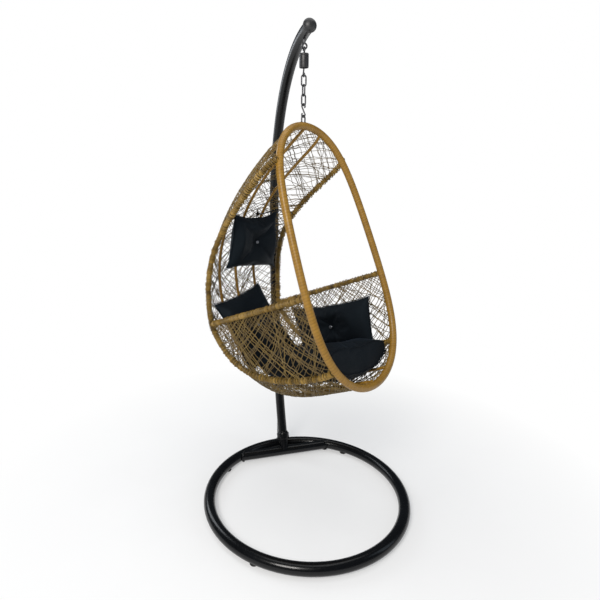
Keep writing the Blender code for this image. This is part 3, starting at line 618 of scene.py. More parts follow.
def make_spring_unit(steel, plastic):
    y_axis = Vector((0, 1, 0))
    bow_top = EYE_BAR_Z + EYE_WIRE + WIRE + 0.0003
    bow_centre = bow_top - HOOK_TOP_RADIUS
    line = arc(hang(bow_centre), y_axis, HOOK_TOP_RADIUS, -30, 210, 31)
    line += [hang(bow_centre + z, y=y) for z, y in ((-0.003, -0.0082), (-0.0055, -0.0068))]
    line += [hang(SPRING_TOP + z, y=y) for z, y in ((0.0125, -0.0022), (0.0105, -0.0004))]
    line += [hang(SPRING_TOP + z) for z in (0.008, 0.0008)]
    hook = sweep(Shape(), line, WIRE_TIP + [WIRE] * (len(line) - 2), 14)
    hook.build("spring_top_hook", steel, "spring_unit", ["spring_upper_hook"])

    inner = SLEEVE_RADIUS - 0.0025
    outer = SLEEVE_RADIUS
    low = -SLEEVE_DROP
    wall = [(0.0052, 0.009), (0.0085, 0.009), (outer - 0.002, 0.0075), (outer, 0.005), (outer, 0.0008),
            (outer - 0.0007, 0.0), (outer - 0.0007, -0.0012), (outer, -0.002), (outer, low + 0.004),
            (outer - 0.0006, low + 0.0034), (outer - 0.0006, low), (inner, low), (inner, 0.0045),
            (0.0052, 0.0065)]
    wall = rounded(wall + [wall[0]], 0.0006, 2)[:-1]
    sleeve = turned(Shape(), wall[::-1], Matrix.Translation(hang(SPRING_TOP)), 56, closed=True)
    sleeve.build("spring_sleeve", plastic, "spring_unit", ["spring_cover"])

    link_bar = link_centre(0) + LINK_LENGTH / 2 - WIRE
    centre = link_bar - CONTACT + HOOK_LOW_RADIUS
    lower = [hang(SPRING_BOTTOM - 0.0008), hang(SPRING_BOTTOM - 0.005), hang(SPRING_BOTTOM - 0.008, y=0.001)]
    lower += arc(hang(centre), y_axis, HOOK_LOW_RADIUS, 30, -255, 33)
    hook = sweep(Shape(), lower, [WIRE] * (len(lower) - 2) + WIRE_TIP[::-1], 14)
    hook.build("spring_bottom_hook", steel, "hook_unit", ["spring_lower_hook"])

    length = SPRING_TOP - SPRING_BOTTOM - 2 * SPRING_WIRE
    coil = []
    for part in np.linspace(0.0, 1.0, SPRING_TURNS * 28 + 1):
        angle = 2 * math.pi * SPRING_TURNS * part
        spot = SPRING_BOTTOM + SPRING_WIRE + length * part
        coil.append(hang(spot, SPRING_RADIUS * math.cos(angle), SPRING_RADIUS * math.sin(angle)))
    spring = sweep(Shape(), coil, SPRING_WIRE, 8)
    spring = spring.build("stretch_spring", steel, "spring_unit", ["tension_spring"])
    spring.parent = None
    del spring["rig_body"]
    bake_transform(spring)


def make_chain(steel):
    step = math.pi / 2 + YAW / 4
    radius = LINK_WIDTH / 2 - WIRE
    straight = LINK_LENGTH / 2 - LINK_WIDTH / 2
    for index in range(3):
        across = Vector((math.cos(index * step), math.sin(index * step), 0.0))
        middle = link_centre(index)
        line = arc(hang(middle + straight), across, radius, 0, 180, 19)
        line += [hang(middle) - across * radius]
        line += arc(hang(middle - straight), across, radius, 180, 180, 19)
        line += [hang(middle) + across * radius]
        shape = sweep(Shape(), line, WIRE, 14, closed=True)
        # resistance weld on one straight side
        weld(shape, hang(middle + 0.002) + across * radius, UP, WIRE - 0.0003, 0.0008, 31 + index)
        number = index + 1
        shape.build("link_%d" % number, steel, "chain_%d" % number, ["chain_link_%d" % number])

    across = Vector((math.cos(3 * step), math.sin(3 * step), 0.0))
    top_bar = link_centre(2) - LINK_LENGTH / 2 + WIRE + CONTACT
    low_bar = HANGER_TOP - CONTACT
    line = arc(hang(top_bar - S_HOOK_RADIUS), across, S_HOOK_RADIUS, -50, 230, 33)
    line += arc(hang(low_bar + S_HOOK_RADIUS), across, S_HOOK_RADIUS, 0, -230, 33)
    hook = sweep(Shape(), line, WIRE_TIP + [WIRE] * (len(line) - 4) + WIRE_TIP[::-1], 14)
    hook.build("s_shaped_hook", steel, "hook_s", ["s_hook"])

    bow = arc(hang(HANGER_TOP - HANGER_RADIUS), SIDE, HANGER_RADIUS, 0, 180, 25)
    legs = [HOOP_TOP + SIDE * HANGER_RADIUS + UP * 0.010, HOOP_TOP - SIDE * HANGER_RADIUS + UP * 0.010]
    shape = sweep(Shape(), [legs[0]] + bow + [legs[1]], WIRE, 14)
    for leg in legs:
        weld(shape, leg + UP * 0.0045, UP, WIRE, 0.0014, 41)
    shape.build("hoop_hanging_staple", steel, "basket", ["hoop_hanger"])


# ---- basket lines and surfaces

def hoop_side(angle):
    """Half width of the egg at an angle from its top."""
    c = math.cos(angle)
    return 0.2751 * math.sin(angle) * (1 - 0.1297 * c + 0.3721 * c ** 2 + 0.0549 * c ** 3)


def hoop_down(angle):
    return HOOP_HALF_HEIGHT * (1 - math.cos(angle))


def angle_at(down):
    return math.acos(1 - down / HOOP_HALF_HEIGHT)


def rod_line():
    upper = [bezier(ROD_UPPER, t) for t in np.linspace(0, 1, 60)]
    lower = [bezier(ROD_LOWER, t) for t in np.linspace(0, 1, 60)]
    return even(upper + lower[1:], ROD_STATIONS)


ROD = rod_line()
MIDDLE = even([bezier(SPINE, t) for t in np.linspace(0, 1, 160)], ROD_STATIONS)
CORNER = int(np.argmin(np.linalg.norm(ROD - np.array(ROD_LOWER[0]), axis=1)))
ARM_SIDE = hoop_side(angle_at(ARM_DROP))
TOP_ARC = [(hoop_side(a), hoop_down(a)) for a in np.linspace(0.0, math.radians(60), 120)]
BOTTOM_ARC = [(hoop_side(a), hoop_down(a)) for a in np.linspace(math.pi, math.radians(125), 120)]


def depth_on(arc_points, side):
    """How far down the hoop's upper or lower arc is at a distance to the side."""
    return float(np.interp(side, [p[0] for p in arc_points], [p[1] for p in arc_points]))


def bulge(row, u):
    """How much of the crown the wrap-round panel has at u: 0 at its middle, 1 at a side rod."""
    t = row / (ROD_STATIONS - 1)
    start = 1 - smooth(t / 0.25)
    end = smooth((t - 0.75) / 0.25)
    u = abs(u)
    at_top = 1 - depth_on(TOP_ARC, u * ROD[0, 1]) / ROD[0, 0]
    low = depth_on(BOTTOM_ARC, u * ROD[-1, 1])
    at_bottom = (low - ROD[-1, 0]) / (2 * HOOP_HALF_HEIGHT - ROD[-1, 0])
    return start * at_top + end * at_bottom + (1 - start - end) * (1 - u ** 3)


def panel_point(row, u):
    """A point of the wrap-round panel: row along the side rods, u across from -1 to 1."""
    low = int(min(row, ROD_STATIONS - 2))
    part = row - low
    rod = ROD[low] * (1 - part) + ROD[low + 1] * part
    mid = MIDDLE[low] * (1 - part) + MIDDLE[low + 1] * part
    f = bulge(row, u)
    return basket(rod[0] + (mid[0] - rod[0]) * f, rod[1] * u, rod[2] + (mid[1] - rod[2]) * f)


def arm_point(t):
    """The arm rail from the hoop (0) to the rear corner (1) as (down, side, back)."""
    corner = ROD[CORNER]
    bow = ARM_BOW * math.sin(math.pi * t)
    return (ARM_DROP + (corner[0] - ARM_DROP) * t, ARM_SIDE + (corner[1] - ARM_SIDE) * t + bow, corner[2] * t)


LOWER_RUN = ROD[CORNER:][::-1]            # the side rod from the hoop back to the rear corner


def wall_point(q, v, sign):
    """A point of a woven side wall: q from the hoop back, v from the arm rail down to the side rod."""
    stations = np.linspace(0.0, 1.0, len(LOWER_RUN))
    bottom = np.array([np.interp(q, stations, LOWER_RUN[:, k]) for k in range(3)])
    point = np.array(arm_point(q)) * (1 - v) + bottom * v
    at_hoop = ARM_DROP * (1 - v) + ROD[-1, 0] * v
    straight = ARM_SIDE * (1 - v) + ROD[-1, 1] * v
    point[1] += (hoop_side(angle_at(at_hoop)) - straight) * (1 - q) ** 2
    return basket(point[0], point[1] * sign, point[2])


class Surface:
    """A smooth sheet sampled on a grid: a runs along it and b across it, both 0 to 1."""

    def __init__(self, point, rows, columns):
        self.rows, self.columns = rows, columns
        spans = np.linspace(0, 1, columns)
        self.grid = np.array([[tuple(point(i / (rows - 1), b)) for b in spans] for i in range(rows)])
        along = np.gradient(self.grid, axis=0)
        across = np.gradient(self.grid, axis=1)
        self.metre_a = np.linalg.norm(along, axis=2) * (rows - 1)
        self.metre_b = np.linalg.norm(across, axis=2) * (columns - 1)
        normal = np.cross(along, across)
        normal /= np.maximum(np.linalg.norm(normal, axis=2)[:, :, None], 1e-9)
        self.normal = -normal if (normal * (np.array(INSIDE) - self.grid)).sum() < 0 else normal

    def look(self, table, a, b):
        """Bilinear value of one of the grids."""
        x = min(max(a, 0.0), 1.0) * (self.rows - 1)
        y = min(max(b, 0.0), 1.0) * (self.columns - 1)
        i, j = min(int(x), self.rows - 2), min(int(y), self.columns - 2)
        x, y = x - i, y - j
        return ((table[i, j] * (1 - x) + table[i + 1, j] * x) * (1 - y)
                + (table[i, j + 1] * (1 - x) + table[i + 1, j + 1] * x) * y)


# ---- weaving

def trace(surface, a, b, heading, rng, shortest):
    """A strand's course over a surface from one edge to another, as (a, b) points; it sways a little."""
    course = [(a, b)]
    sway = rng.uniform(0.05, 0.22)
    phase = rng.uniform(0, 2 * math.pi)
    wave = rng.uniform(0.035, 0.07)
    while len(course) < 180:
        way = heading + sway * math.sin(phase + 2 * math.pi * len(course) * STEP / wave)
        da = STEP * math.cos(way) / max(float(surface.look(surface.metre_a, a, b)), 0.02)
        db = STEP * math.sin(way) / max(float(surface.look(surface.metre_b, a, b)), 0.02)
        part = 1.0
        if b + db > 1.0:
            part = (1.0 - b) / db
        elif b + db < 0.0:
            part = b / -db
        if a + da * part > 1.0:
            part = (1.0 - a) / da
        elif a + da * part < 0.0:
            part = a / -da
        a, b = a + da * part, b + db * part
        course.append((a, b))
        if part < 1.0 or float(surface.look(surface.metre_b, a, b)) < shortest:
            break
        heading += rng.normal(0.0, 0.012)
    return course


def lay(shape, surface, course, rng, rods, size):
    """A strand along a course, rising and dipping past the others, and wound on the rod where it ends."""
    amount = rng.uniform(0.0006, 0.0016)
    phase = rng.uniform(0, 2 * math.pi)
    wave = rng.uniform(0.028, 0.05)
    ends = [0 if b < 1e-6 else 1 if b > 1 - 1e-6 else None for _, b in (course[0], course[-1])]
    run = 4
    spots, normals, line = [], [], []
    for k, (a, b) in enumerate(course):
        normal = surface.look(surface.normal, a, b)
        normal = normal / np.linalg.norm(normal)
        lift = amount * math.sin(phase + 2 * math.pi * k * STEP / wave)
        spots.append(surface.look(surface.grid, a, b))
        normals.append(normal)
        for end, steps in ((0, k), (1, len(course) - 1 - k)):
            if ends[end] is not None and steps < run:
                # climbs onto the rod: over it at one end and under it at the other
                share = 1 - steps / run
                top = rods[ends[end]] + size * 0.6
                lift = lift * (1 - share) + (1 - 2 * end) * top * smooth(share)
        line.append(spots[-1] + normal * lift)
    head = rod_turns(spots, normals, ends[0], rods, size, 0, rng)
    tail = rod_turns(spots, normals, ends[1], rods, size, 1, rng)
    tone = 0.5 + rng.normal(0, 0.13)
    sweep(shape, head[::-1] + line + tail, size, 5, first=tuple(normals[0]), tone=tone)


def rod_turns(spots, normals, edge, rods, size, end, rng):
    """Turns of a strand round the rod at its end, starting from the strand."""
    if edge is None or len(spots) < 3:
        return []
    spot, before, normal = (spots[-1], spots[-3], normals[-1]) if end else (spots[0], spots[2], normals[0])
    travel = spot - before
    travel = travel - normal * travel.dot(normal)
    travel /= np.linalg.norm(travel)
    radius = rods[edge] + size * 0.6
    sign = -1 if end else 1
    turns = rng.uniform(0.6, 1.5)
    drift = rng.uniform(-0.007, 0.007)
    rod_way = np.cross(travel, normal)
    count = max(int(turns * 9), 5)
    out = []
    for k in range(1, count + 1):
        angle = 2 * math.pi * turns * k / count
        out.append(spot + normal * sign * radius * math.cos(angle) + travel * radius * math.sin(angle)
                   + rod_way * drift * k / count)
    return out


def weave(name, surface, material, nodes, spacing, lean, stray, spare, rods, size, seed, shortest=0.0):
    """Two leaning families of strands that make a net, and spare ones that cross it at odd angles.

    stray is how far, in degrees, a strand's lean varies; spare lists (count, from, to along the sheet, size).
    """
    rng = np.random.default_rng(seed)
    shape = Shape()
    long_a = float(surface.metre_a.mean())
    long_b = float(surface.metre_b.mean())
    for sign in (1, -1):
        count = int(long_a * math.sin(math.radians(lean)) / spacing)
        starts = [((k + rng.uniform(0.3, 0.7)) / count, 0.0) for k in range(count)]
        count = max(int(long_b * math.cos(math.radians(lean)) / spacing), 1)
        starts += [(0.0 if sign > 0 else 1.0, (k + rng.uniform(0.3, 0.7)) / count) for k in range(count)]
        for a, b in starts:
            angle = math.radians(lean + rng.normal(0, stray))
            heading = angle if sign > 0 else math.pi - angle
            course = trace(surface, a, b, heading, rng, shortest)
            if len(course) > 4:
                lay(shape, surface, course, rng, rods, size)
    for count, low, high, spare_size in spare:
        for _ in range(count):
            b = float(rng.integers(0, 2))
            angle = rng.uniform(math.radians(25), math.radians(155))
            course = trace(surface, rng.uniform(low, high), b, angle if b == 0 else -angle, rng, shortest)
            if len(course) > 4:
                lay(shape, surface, course, rng, rods, spare_size)
    return shape.build(name, material, "basket", nodes)


def make_weave(rattan):
    wrap = Surface(lambda a, b: panel_point(a * (ROD_STATIONS - 1), 2 * b - 1), 145, 33)
    weave("wrap_weave", wrap, rattan, ["wrap_weave_panel"], NET_SPACING, 55, 3.0,
          [(45, 0.02, 0.98, THIN_STRAND), (75, 0.70, 0.985, STRAND)], (SIDE_ROD, SIDE_ROD), THIN_STRAND, 7)
    for side, sign in (("left", 1), ("right", -1)):
        wall = Surface(lambda q, v: wall_point(0.012 + q * 0.975, v, sign), 61, 17)
        weave("wall_weave_" + side, wall, rattan, ["side_weave_panel_" + side], WALL_SPACING, 44, 2.5,
              [(18, 0.02, 0.98, STRAND)], (ARM_ROD, SIDE_ROD), STRAND, 19 + sign, WALL_END)


# ---- wound rods and hoop

def wound(name, line, radius, pitch, depth, sides, cane, nodes, closed, first):
    """A tube wound tight with flat strip: its rings follow the winding, so each groove is sharp."""
    line = [tuple(p) for p in line]
    if closed:
        line.append(line[0])
    turns = int(round(line_length(line) / pitch))
    steps = len(STRIP_RISE)
    count = turns * steps
    fine = even(line, count + 1)
    across, up, _ = transport(fine[:-1] if closed else fine, closed, first)
    fine, across, up = fine[:count], across[:count], up[:count]
    # each point lies part of a turn further along than its ring
    where = np.arange(count)[:, None] + steps * np.arange(sides)[None, :] / sides
    low = np.floor(where).astype(int)
    part = (where - low)[:, :, None]
    one, two = (k % count if closed else np.minimum(k, count - 1) for k in (low, low + 1))
    centre, a, b = (track[one] * (1 - part) + track[two] * part for track in (fine, across, up))
    angles = (2 * math.pi * np.arange(sides) / sides)[None, :, None]
    r = radius - depth * (1 - np.tile(STRIP_RISE, turns))
    verts = centre + (a * np.cos(angles) + b * np.sin(angles)) * r[:, None, None]
    tint = np.repeat(np.random.default_rng(turns).normal(0, 0.035, turns), steps)
    # painted shade: each turn darkens into its groove, with a random tint per turn
    tone = np.repeat(np.tile(STRIP_PAINTED_SHADE, turns) + tint, sides)
    faces = []
    last = count if closed else count - 1 - steps
    for i in range(last):
        n = (i + 1) % count
        for j in range(sides - 1):
            faces.append((i * sides + j, i * sides + j + 1, n * sides + j + 1, n * sides + j))
        p, q = (i + steps) % count, (n + steps) % count
        faces.append((i * sides + sides - 1, p * sides, q * sides, n * sides + sides - 1))
    verts = verts.reshape(-1, 3)
    if not closed:
        # each end is one face whose edge steps back along the winding
        faces.append(tuple([k * sides for k in range(steps, 0, -1)] + list(range(sides)))[::-1])
        faces.append(tuple([last * sides + j for j in range(sides)]
                           + [(last + k) * sides for k in range(steps, 0, -1)]))
        used = sorted({i for face in faces for i in face})
        index = {old: new for new, old in enumerate(used)}
        faces = [tuple(index[i] for i in face) for face in faces]
        verts, tone = verts[used], tone[used]
    shape = Shape()
    shape.add(verts, faces, tone)
    shape.build(name, cane, "basket", nodes, 80.0)


def wrapped_rod(name, line, radius, pitch, seed, cane, nodes):
    """A thin rod wound unevenly with round strand."""
    rng = np.random.default_rng(seed)
    size = STRAND * 1.45
    shape = Shape()
    line = np.array([tuple(p) for p in line])
    length = line_length(line)
    # the core between the turns gets a low tone: painted shade in the gaps
    sweep(shape, even(line, max(int(length / 0.012), 8)), radius - size * 1.1, 10, tone=0.12)
    turns = int(length / pitch)
    per = 9
    count = turns * per
    fine = even(line, count + 1)
    across, up, tangent = transport(fine)
    place = np.arange(count + 1)
    marks = np.arange(0, count + per, per * 2)
    jitter = np.interp(place, marks, rng.normal(0, pitch * 0.45, len(marks)))
    laps = np.abs(rng.normal(0, 0.0009, turns + 2))
    knots = rng.integers(2, 4, turns).cumsum()
    laps[knots[knots < turns]] += rng.uniform(0.0034, 0.0066, int((knots < turns).sum()))
    rise = np.interp(place, np.arange(turns + 2) * per, laps)
    angles = 2 * math.pi * place / per
    r = (radius - size * 0.55 + rise)[:, None]
    coil = fine + tangent * jitter[:, None]
    coil += (across * np.cos(angles)[:, None] + up * np.sin(angles)[:, None]) * r
    marks = np.arange(0, count + per, per * 3)
    tone = np.interp(place, marks, 0.60 + rng.normal(0, 0.20, len(marks)))
    sweep(shape, coil, size, 6, tone=np.repeat(tone, 6))
    return shape.build(name, cane, "basket", nodes)


def make_frame(cane, golden):
    angles = np.linspace(0.0, 2 * math.pi, 361)[:-1]
    hoop = [basket(hoop_down(a), hoop_side(a), 0.0) for a in angles]
    wound("hoop_wound", hoop, HOOP_TUBE, HOOP_PITCH, 0.00038, 28, cane, ["front_hoop"], True, tuple(BACK))
    for name, u in (("right", -0.5), ("middle", 0.0), ("left", 0.5)):
        line = []
        for row in np.linspace(0, ROD_STATIONS - 1, 97):
            lo, hi = max(row - 0.5, 0), min(row + 0.5, ROD_STATIONS - 1)
            along = panel_point(hi, u) - panel_point(lo, u)
            across = panel_point(row, u + 0.02) - panel_point(row, u - 0.02)
            normal = along.cross(across).normalized()
            if normal.dot(INSIDE - panel_point(row, u)) < 0:
                normal = -normal
            line.append(panel_point(row, u) + normal * (RIB_ROD + PANEL_TO_RIB))
        nodes = ["back_rib_" + name]
        wound("rib_wound_" + name, line, RIB_ROD, RIB_PITCH, 0.0003, 16, cane, nodes, False, tuple(SIDE))
    for side, sign in (("left", 1), ("right", -1)):
        line = [basket(d, s * sign, b) for d, s, b in ROD]
        wrapped_rod("rod_wrapped_" + side, line, SIDE_ROD, ROD_PITCH, 50 + sign, golden, ["side_rod_" + side])
        line = [basket(d, s * sign, b) for d, s, b in map(arm_point, np.linspace(0.0, 0.993, 33))]
        wrapped_rod("arm_wrapped_" + side, line, ARM_ROD, ARM_PITCH, 60 + sign, golden, ["arm_rail_" + side])


# ---- cushions

def pad_mesh(width, height, rims):
    """Two grids of quads, in the cushion's own axes, that share their edge or have a strip between them.

    rims are the strip's heights at the sides and in the middle of the front, or None.
    Gives points, faces, and the seams as loops of points.
    """
    nx, ny = max(int(width / CLOTH_CELL), 8), max(int(height / CLOTH_CELL), 8)
    rows = 6 if rims else 0
    index = {}
    points, faces = [], []

    def at(i, j, layer):
        """layer is 0 on top, rows underneath, and between them on the strip round the edge."""
        border = i in (0, nx) or j in (0, ny)
        key = (i, j, layer if border else (0 if layer == 0 else 1), border)
        if key not in index:
            index[key] = len(points)
            a, b = 2 * i / nx - 1, 2 * j / ny - 1
            rim = rims[0] + (rims[1] - rims[0]) * (1 - a ** 4) if rims else 0.0
            if border:
                rise = rim / 2 * (1 - 2 * layer / rows) if rows else 0.0
            else:
                rise = (FIRST_SWELL * (1 - a ** 4) * (1 - b ** 4) + rim / 2) * (1 if layer == 0 else -1)
            points.append((a * width / 2, b * height / 2, rise))
        return index[key]

    for layer in (0, rows or -1):
        for i in range(nx):
            for j in range(ny):
                under = rows if layer else 0
                cell_at = [(i, j), (i + 1, j), (i + 1, j + 1), (i, j + 1)]
                face = []
                for m, n in cell_at:
                    border = m in (0, nx) or n in (0, ny)
                    face.append(at(m, n, (under if border else layer)))
                faces.append(tuple(face) if layer == 0 else tuple(face[::-1]))
    edge = [(i, 0) for i in range(nx)] + [(nx, j) for j in range(ny)]
    edge += [(i, ny) for i in range(nx, 0, -1)] + [(0, j) for j in range(ny, 0, -1)]
    for layer in range(rows):
        for (i, j), (m, n) in zip(edge, edge[1:] + edge[:1]):
            faces.append((at(i, j, layer), at(i, j, layer + 1), at(m, n, layer + 1), at(m, n, layer)))
    seams = [[at(i, j, layer) for i, j in edge] for layer in ((0, rows) if rows else (0,))]
    return np.array(points), faces, seams


def inflate(points, faces, pinned, cap):
    """Blows the pad up as cloth with its pinned points held, and caps how far any point moves."""
    obj = mesh_object("pad_for_cloth", points, faces)
    cloth = obj.modifiers.new("cloth", "CLOTH")
    settings = cloth.settings
    for name, value in (("quality", 6), ("mass", 0.3), ("tension_stiffness", 12),
                        ("compression_stiffness", 12), ("shear_stiffness", 6), ("bending_stiffness", 0.35),
                        ("use_pressure", True), ("uniform_pressure_force", PRESSURE)):
        setattr(settings, name, value)
    settings.effector_weights.gravity = 0
    if pinned:
        obj.vertex_groups.new(name="held").add(pinned, 1.0, "REPLACE")
        settings.vertex_group_mass = "held"
    cloth.point_cache.frame_start = 1
    cloth.point_cache.frame_end = 22
    scene = bpy.context.scene
    for number in range(1, 21):
        scene.frame_set(number)
    shown = obj.evaluated_get(bpy.context.evaluated_depsgraph_get()).data
    out = np.array([v.co for v in shown.vertices])
    scene.frame_set(1)
    bpy.data.objects.remove(obj)
    moved = out - points
    reach = np.linalg.norm(moved, axis=1)[:, None]
    return points + moved * np.minimum(1.0, cap / np.maximum(reach, 1e-9))


def pad_frame(corners):
    """The four corners of a cushion as arrays, the way out of its front, and its mean width and height."""
    points = [np.array(basket(*corner)) for corner in corners]
    top_left, top_right, low_left, low_right = points
    across = top_right - top_left + low_right - low_left
    up = top_left - low_left + top_right - low_right
    normal = np.cross(across, up)
    normal /= np.linalg.norm(normal)
    return points, normal, float(np.linalg.norm(across)) / 2, float(np.linalg.norm(up)) / 2


def on_pad(corners, points):
    """Places points given in a cushion's own axes between its four corners."""
    (top_left, top_right, low_left, low_right), normal, width, height = pad_frame(corners)
    points = np.atleast_2d(points)
    x = (points[:, 0] / width + 0.5)[:, None]
    y = (points[:, 1] / height + 0.5)[:, None]
    flat = (top_left * (1 - x) + top_right * x) * y + (low_left * (1 - x) + low_right * x) * (1 - y)
    return flat + points[:, 2:3] * normal


def stuffed(name, corners, thick, tuft, ears, rims, sag, cloth, node, seed, dip):
    """A stuffed cushion: cloth simulation in its own axes, then ears at the corners, then placed.

    sag hangs its middle and dip draws in the middle of its top edge.
    """
    _, _, width, height = pad_frame(corners)
    points, faces, seams = pad_mesh(width, height, rims)
    rim = rims[1] if rims else 0.0
    held = []
    if tuft:
        held = [k for k, p in enumerate(points) if math.hypot(p[0], p[1]) < 0.009]
    rest = points.copy()
    a, b = 2 * rest[:, 0] / width, 2 * rest[:, 1] / height
    points = inflate(points, faces, held, (thick - rim) * 0.62)
    # the edge draws in only a little, and the filling gives the cushion its full depth
    points[:, :2] = rest[:, :2] + (points[:, :2] - rest[:, :2]) * 0.22
    points[:, 2] *= thick / np.ptp(points[:, 2])
    corner = (np.abs(a) * np.abs(b)) ** 8
    points[:, 0] += np.sign(a) * ears * corner
    points[:, 1] += np.sign(b) * ears * corner
    points[:, 1] -= dip * (1 - a * a) * np.clip(b, 0.0, 1.0) ** 2
    # lumps in the filling
    rng = np.random.default_rng(seed)
    for _ in range(7):
        spot = rng.uniform(-0.8, 0.8, 2)
        reach = rng.uniform(0.25, 0.5)
        lump = np.exp(-((a - spot[0]) ** 2 + (b - spot[1]) ** 2) / reach ** 2)
        points[:, 2] *= 1 + rng.uniform(-0.12, 0.10) * lump
    points[:, 2] -= sag * (1 - a * a)
    placed = on_pad(corners, points)
    obj = mesh_object(name, placed, faces)
    keep_rest(obj.data, rest + np.array([seed * 0.37, seed * 0.11, 0.0]))
    obj.data.materials.append(cloth)
    obj.data.shade_smooth()
    finer = obj.modifiers.new("finer", "SUBSURF")
    finer.levels = finer.render_levels = 1
    shown = bpy.data.meshes.new_from_object(obj.evaluated_get(bpy.context.evaluated_depsgraph_get()))
    obj.modifiers.clear()
    obj.data = shown
    shown.name = name
    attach(obj, "basket")
    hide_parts(node)

    # corded seams round the edge
    shape = Shape()
    for seam in seams:
        sweep(shape, placed[seam], 0.0017, 6, closed=True)
    small_cloth(shape, name + "_seam", cloth)


def keep_rest(mesh, points):
    """Stores the rest attribute that the cloth's threads follow."""
    store = mesh.attributes.new("rest", "FLOAT_VECTOR", "POINT")
    store.data.foreach_set("vector", np.asarray(points, np.float32).ravel())


def small_cloth(shape, name, cloth):
    """Finishes a seam or cord of cushion cloth."""
    mesh = shape.build(name, cloth, "basket").data
    keep_rest(mesh, [v.co for v in mesh.vertices])


def tuft_button(name, corners, height, material, node):
    _, normal, _, _ = pad_frame(corners)
    spot = Vector(on_pad(corners, (0.0, 0.0, height))[0])
    profile = rounded([(0.0030, -0.0025), (0.0076, -0.0022), (0.0085, -0.0005), (0.0074, 0.0018),
                       (0.0044, 0.0032), (0.0006, 0.0037)], 0.0012, 3)
    turned(Shape(), profile, facing(tuple(normal), spot), 32).build(name, material, "basket", [node])


def tie_cord(name, ear, knot, cloth):
    """A short cord from a cushion's ear back to the weave, with a knot and two loose ends."""
    ear, knot = Vector(ear), Vector(knot)
    way = (knot - ear).normalized()
    sag = Vector((0, 0, -0.006))
    shape = Shape()
    line = [ear - way * 0.006, ear + (knot - ear) * 0.35 + sag * 0.8, ear + (knot - ear) * 0.7 + sag, knot]
    sweep(shape, even([tuple(p) for p in line], 9), 0.0022, 8)
    side = Vector(way.orthogonal()).normalized()
    for turn in (0, 1):
        loop = arc(knot + UP * 0.001 * turn, side, 0.0055 + 0.0012 * turn, 20 * turn, 330, 17)
        sweep(shape, loop, 0.0021, 8)
    for lean in (-1, 1):
        tail = [knot, knot + side * 0.008 * lean - UP * 0.006, knot + side * 0.013 * lean - UP * 0.024]
        sweep(shape, even([tuple(p) for p in tail], 6), 0.0019, 8)
    small_cloth(shape, name, cloth)


def make_cushions(cloth, metal):
    pillows = [("head", HEAD_CORNERS, 0.088, 0.020, 1, 0.016, 0.022),
               ("right", RIGHT_CORNERS, 0.085, 0.010, 2, 0.004, 0.022),
               ("left", LEFT_CORNERS, 0.078, 0.012, 3, 0.004, 0.020)]
    for name, corners, thick, ears, seed, dip, height in pillows:
        stuffed("pillow_" + name, corners, thick, True, ears, None, 0.0, cloth, name + "_pillow", seed, dip)
        tuft_button("button_" + name, corners, height, metal, name + "_pillow_button")
    stuffed("cushion_seat", SEAT_CORNERS, 0.158, False, 0.006, (0.040, 0.122), SEAT_SAG, cloth,
            "seat_cushion", 4, 0.004)

    _, _, width, height = pad_frame(HEAD_CORNERS)
    for name, sign, row, u in (("right", -1, 22, -0.97), ("left", 1, 26, 0.42)):
        ear = on_pad(HEAD_CORNERS, (sign * (width / 2 + 0.016), height / 2 + 0.016, 0.0))[0]
        tie_cord("head_pillow_tie_" + name, ear, panel_point(row, u), cloth)


# ---- studio

def area_light(name, spot, aim, size, power, colour):
    light = bpy.data.lights.new(name, "AREA")
    light.shape = "RECTANGLE"
    light.size, light.size_y = size
    light.energy = power
    light.color = colour
    obj = bpy.data.objects.new(name, light)
    obj.location = spot
    obj.rotation_euler = (Vector(aim) - Vector(spot)).to_track_quat("-Z", "Y").to_euler()
    bpy.context.scene.collection.objects.link(obj)


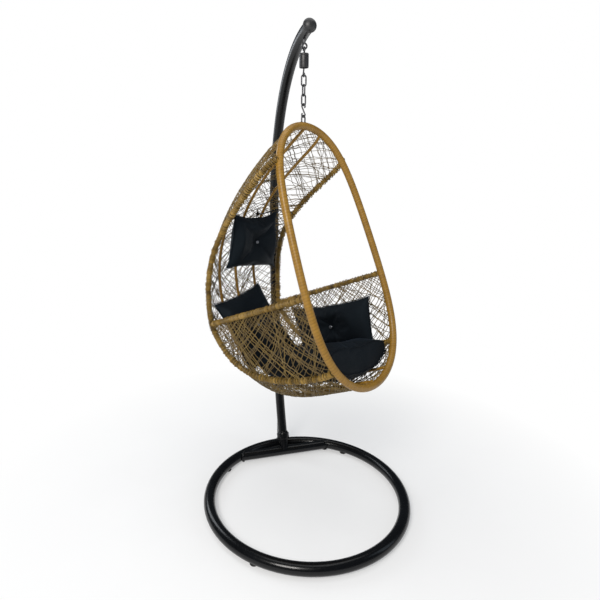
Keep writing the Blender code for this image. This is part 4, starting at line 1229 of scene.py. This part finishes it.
def make_studio():
    scene = bpy.context.scene
    scene.view_settings.view_transform = "Standard"
    scene.view_settings.look = "None"
    world = bpy.data.worlds.new("studio")
    world.use_nodes = True
    tree = world.node_tree
    plain = tree.nodes["Background"]
    plain.inputs["Color"].default_value = (1.0, 1.0, 1.0, 1.0)
    plain.inputs["Strength"].default_value = 1.0
    path = add_node(tree, "ShaderNodeLightPath")
    shown, dim = (add_node(tree, "ShaderNodeBackground", {"Color": colour, "Strength": strength}).outputs[0]
                  for colour, strength in (((0.86, 0.92, 1.0, 1.0), 0.30), ((0.75, 0.87, 1.0, 1.0), 0.10)))
    # reflections see a darker room than the soft fill light, and the camera sees plain white
    for ray, other in (("Is Glossy Ray", dim), ("Is Camera Ray", plain.outputs[0])):
        both = add_node(tree, "ShaderNodeMixShader")
        link(path.outputs[ray], both.inputs[0])
        link(shown, both.inputs[1])
        link(other, both.inputs[2])
        shown = both.outputs[0]
    link(shown, tree.nodes["World Output"].inputs["Surface"])
    scene.world = world

    # pale floor that fades into the white backdrop away from the chair
    half = 14.0
    corners = [(-half, -half, 0), (half, -half, 0), (half, half, 0), (-half, half, 0)]
    floor = mesh_object("studio_floor", corners, [(0, 1, 2, 3)])
    material, tree, shader = new_material("pale_floor")
    link(ramp(tree, noise(tree, 3.0, 4.0), [(0.3, 0.86), (0.7, 0.89)]), shader.inputs["Base Color"])
    shader.inputs["Roughness"].default_value = 0.7
    glow = add_node(tree, "ShaderNodeEmission", {"Color": (1.0, 1.0, 1.0, 1.0), "Strength": 1.0})
    place = add_node(tree, "ShaderNodeTexCoord")
    far = add_node(tree, "ShaderNodeVectorMath", operation="LENGTH")
    link(place.outputs["Object"], far.inputs[0])
    span = add_node(tree, "ShaderNodeMapRange", {"From Min": 0.45, "From Max": 1.5, "To Min": 0.35})
    link(far.outputs["Value"], span.inputs["Value"])
    fade = add_node(tree, "ShaderNodeMixShader")
    link(span.outputs["Result"], fade.inputs[0])
    link(shader.outputs[0], fade.inputs[1])
    link(glow.outputs[0], fade.inputs[2])
    link(fade.outputs[0], tree.nodes["Material Output"].inputs["Surface"])
    floor.data.materials.append(material)

    aim = (0.0, 0.0, 0.9)
    area_light("key", (-1.9, -2.6, 3.0), aim, (1.4, 1.4), 125, (1.0, 0.97, 0.93))
    area_light("window", (2.8, -1.4, 1.9), aim, (1.0, 2.2), 8, (0.75, 0.88, 1.0))
    area_light("top", (0.2, 0.3, 3.6), aim, (2.4, 2.4), 30, (1.0, 1.0, 1.0))
    area_light("rim", (-1.8, 2.2, 2.2), aim, (1.2, 1.8), 28, (0.9, 0.95, 1.0))


def make_camera():
    camera = bpy.data.cameras.new("camera")
    camera.sensor_width = 36.0
    camera.lens = 29.799
    camera.shift_x = 0.041867
    camera.shift_y = -0.05055
    obj = bpy.data.objects.new("camera", camera)
    obj.location = (-0.6292, -1.9390, 1.4672)
    obj.rotation_euler = (math.radians(90 - 11.9112), 0.0, math.radians(-14.5616))
    bpy.context.scene.collection.objects.link(obj)
    bpy.context.scene.camera = obj


# ---- build

def main():
    paint = powder_coat()
    plastic = moulded_plastic()
    steel = zinc_steel()
    rubber = pad_rubber()
    # the fourth colour of each cane is its painted shade for grooves and gaps
    cane = cane_material("honey_cane_strip", (0.21, 0.107, 0.014), (0.30, 0.160, 0.021), (0.39, 0.225, 0.036),
                         (0.12, 0.056, 0.009), 0.34)
    rattan = cane_material("brown_rattan_strand", (0.080, 0.050, 0.012), (0.150, 0.096, 0.024),
                           (0.270, 0.178, 0.045), (0.035, 0.019, 0.006), 0.42)
    golden = cane_material("golden_rattan_strand", (0.105, 0.060, 0.010), (0.205, 0.122, 0.020),
                           (0.330, 0.205, 0.045), (0.030, 0.016, 0.005), 0.40)
    gunmetal = button_metal()
    cloth = cushion_cloth()

    for number in range(1, 5):
        pad = frame["nodes"]["ring_foot_pad_%d" % number].data
        pad.materials.clear()
        pad.materials.append(rubber)
    make_ring(paint)
    make_pole(paint, plastic)
    make_screws(paint)
    make_eye(steel)
    make_spring_unit(steel, plastic)
    make_chain(steel)
    make_frame(cane, golden)
    make_weave(rattan)
    make_cushions(cloth, gunmetal)
    make_studio()
    make_camera()


main()
bpy.context.view_layer.update()
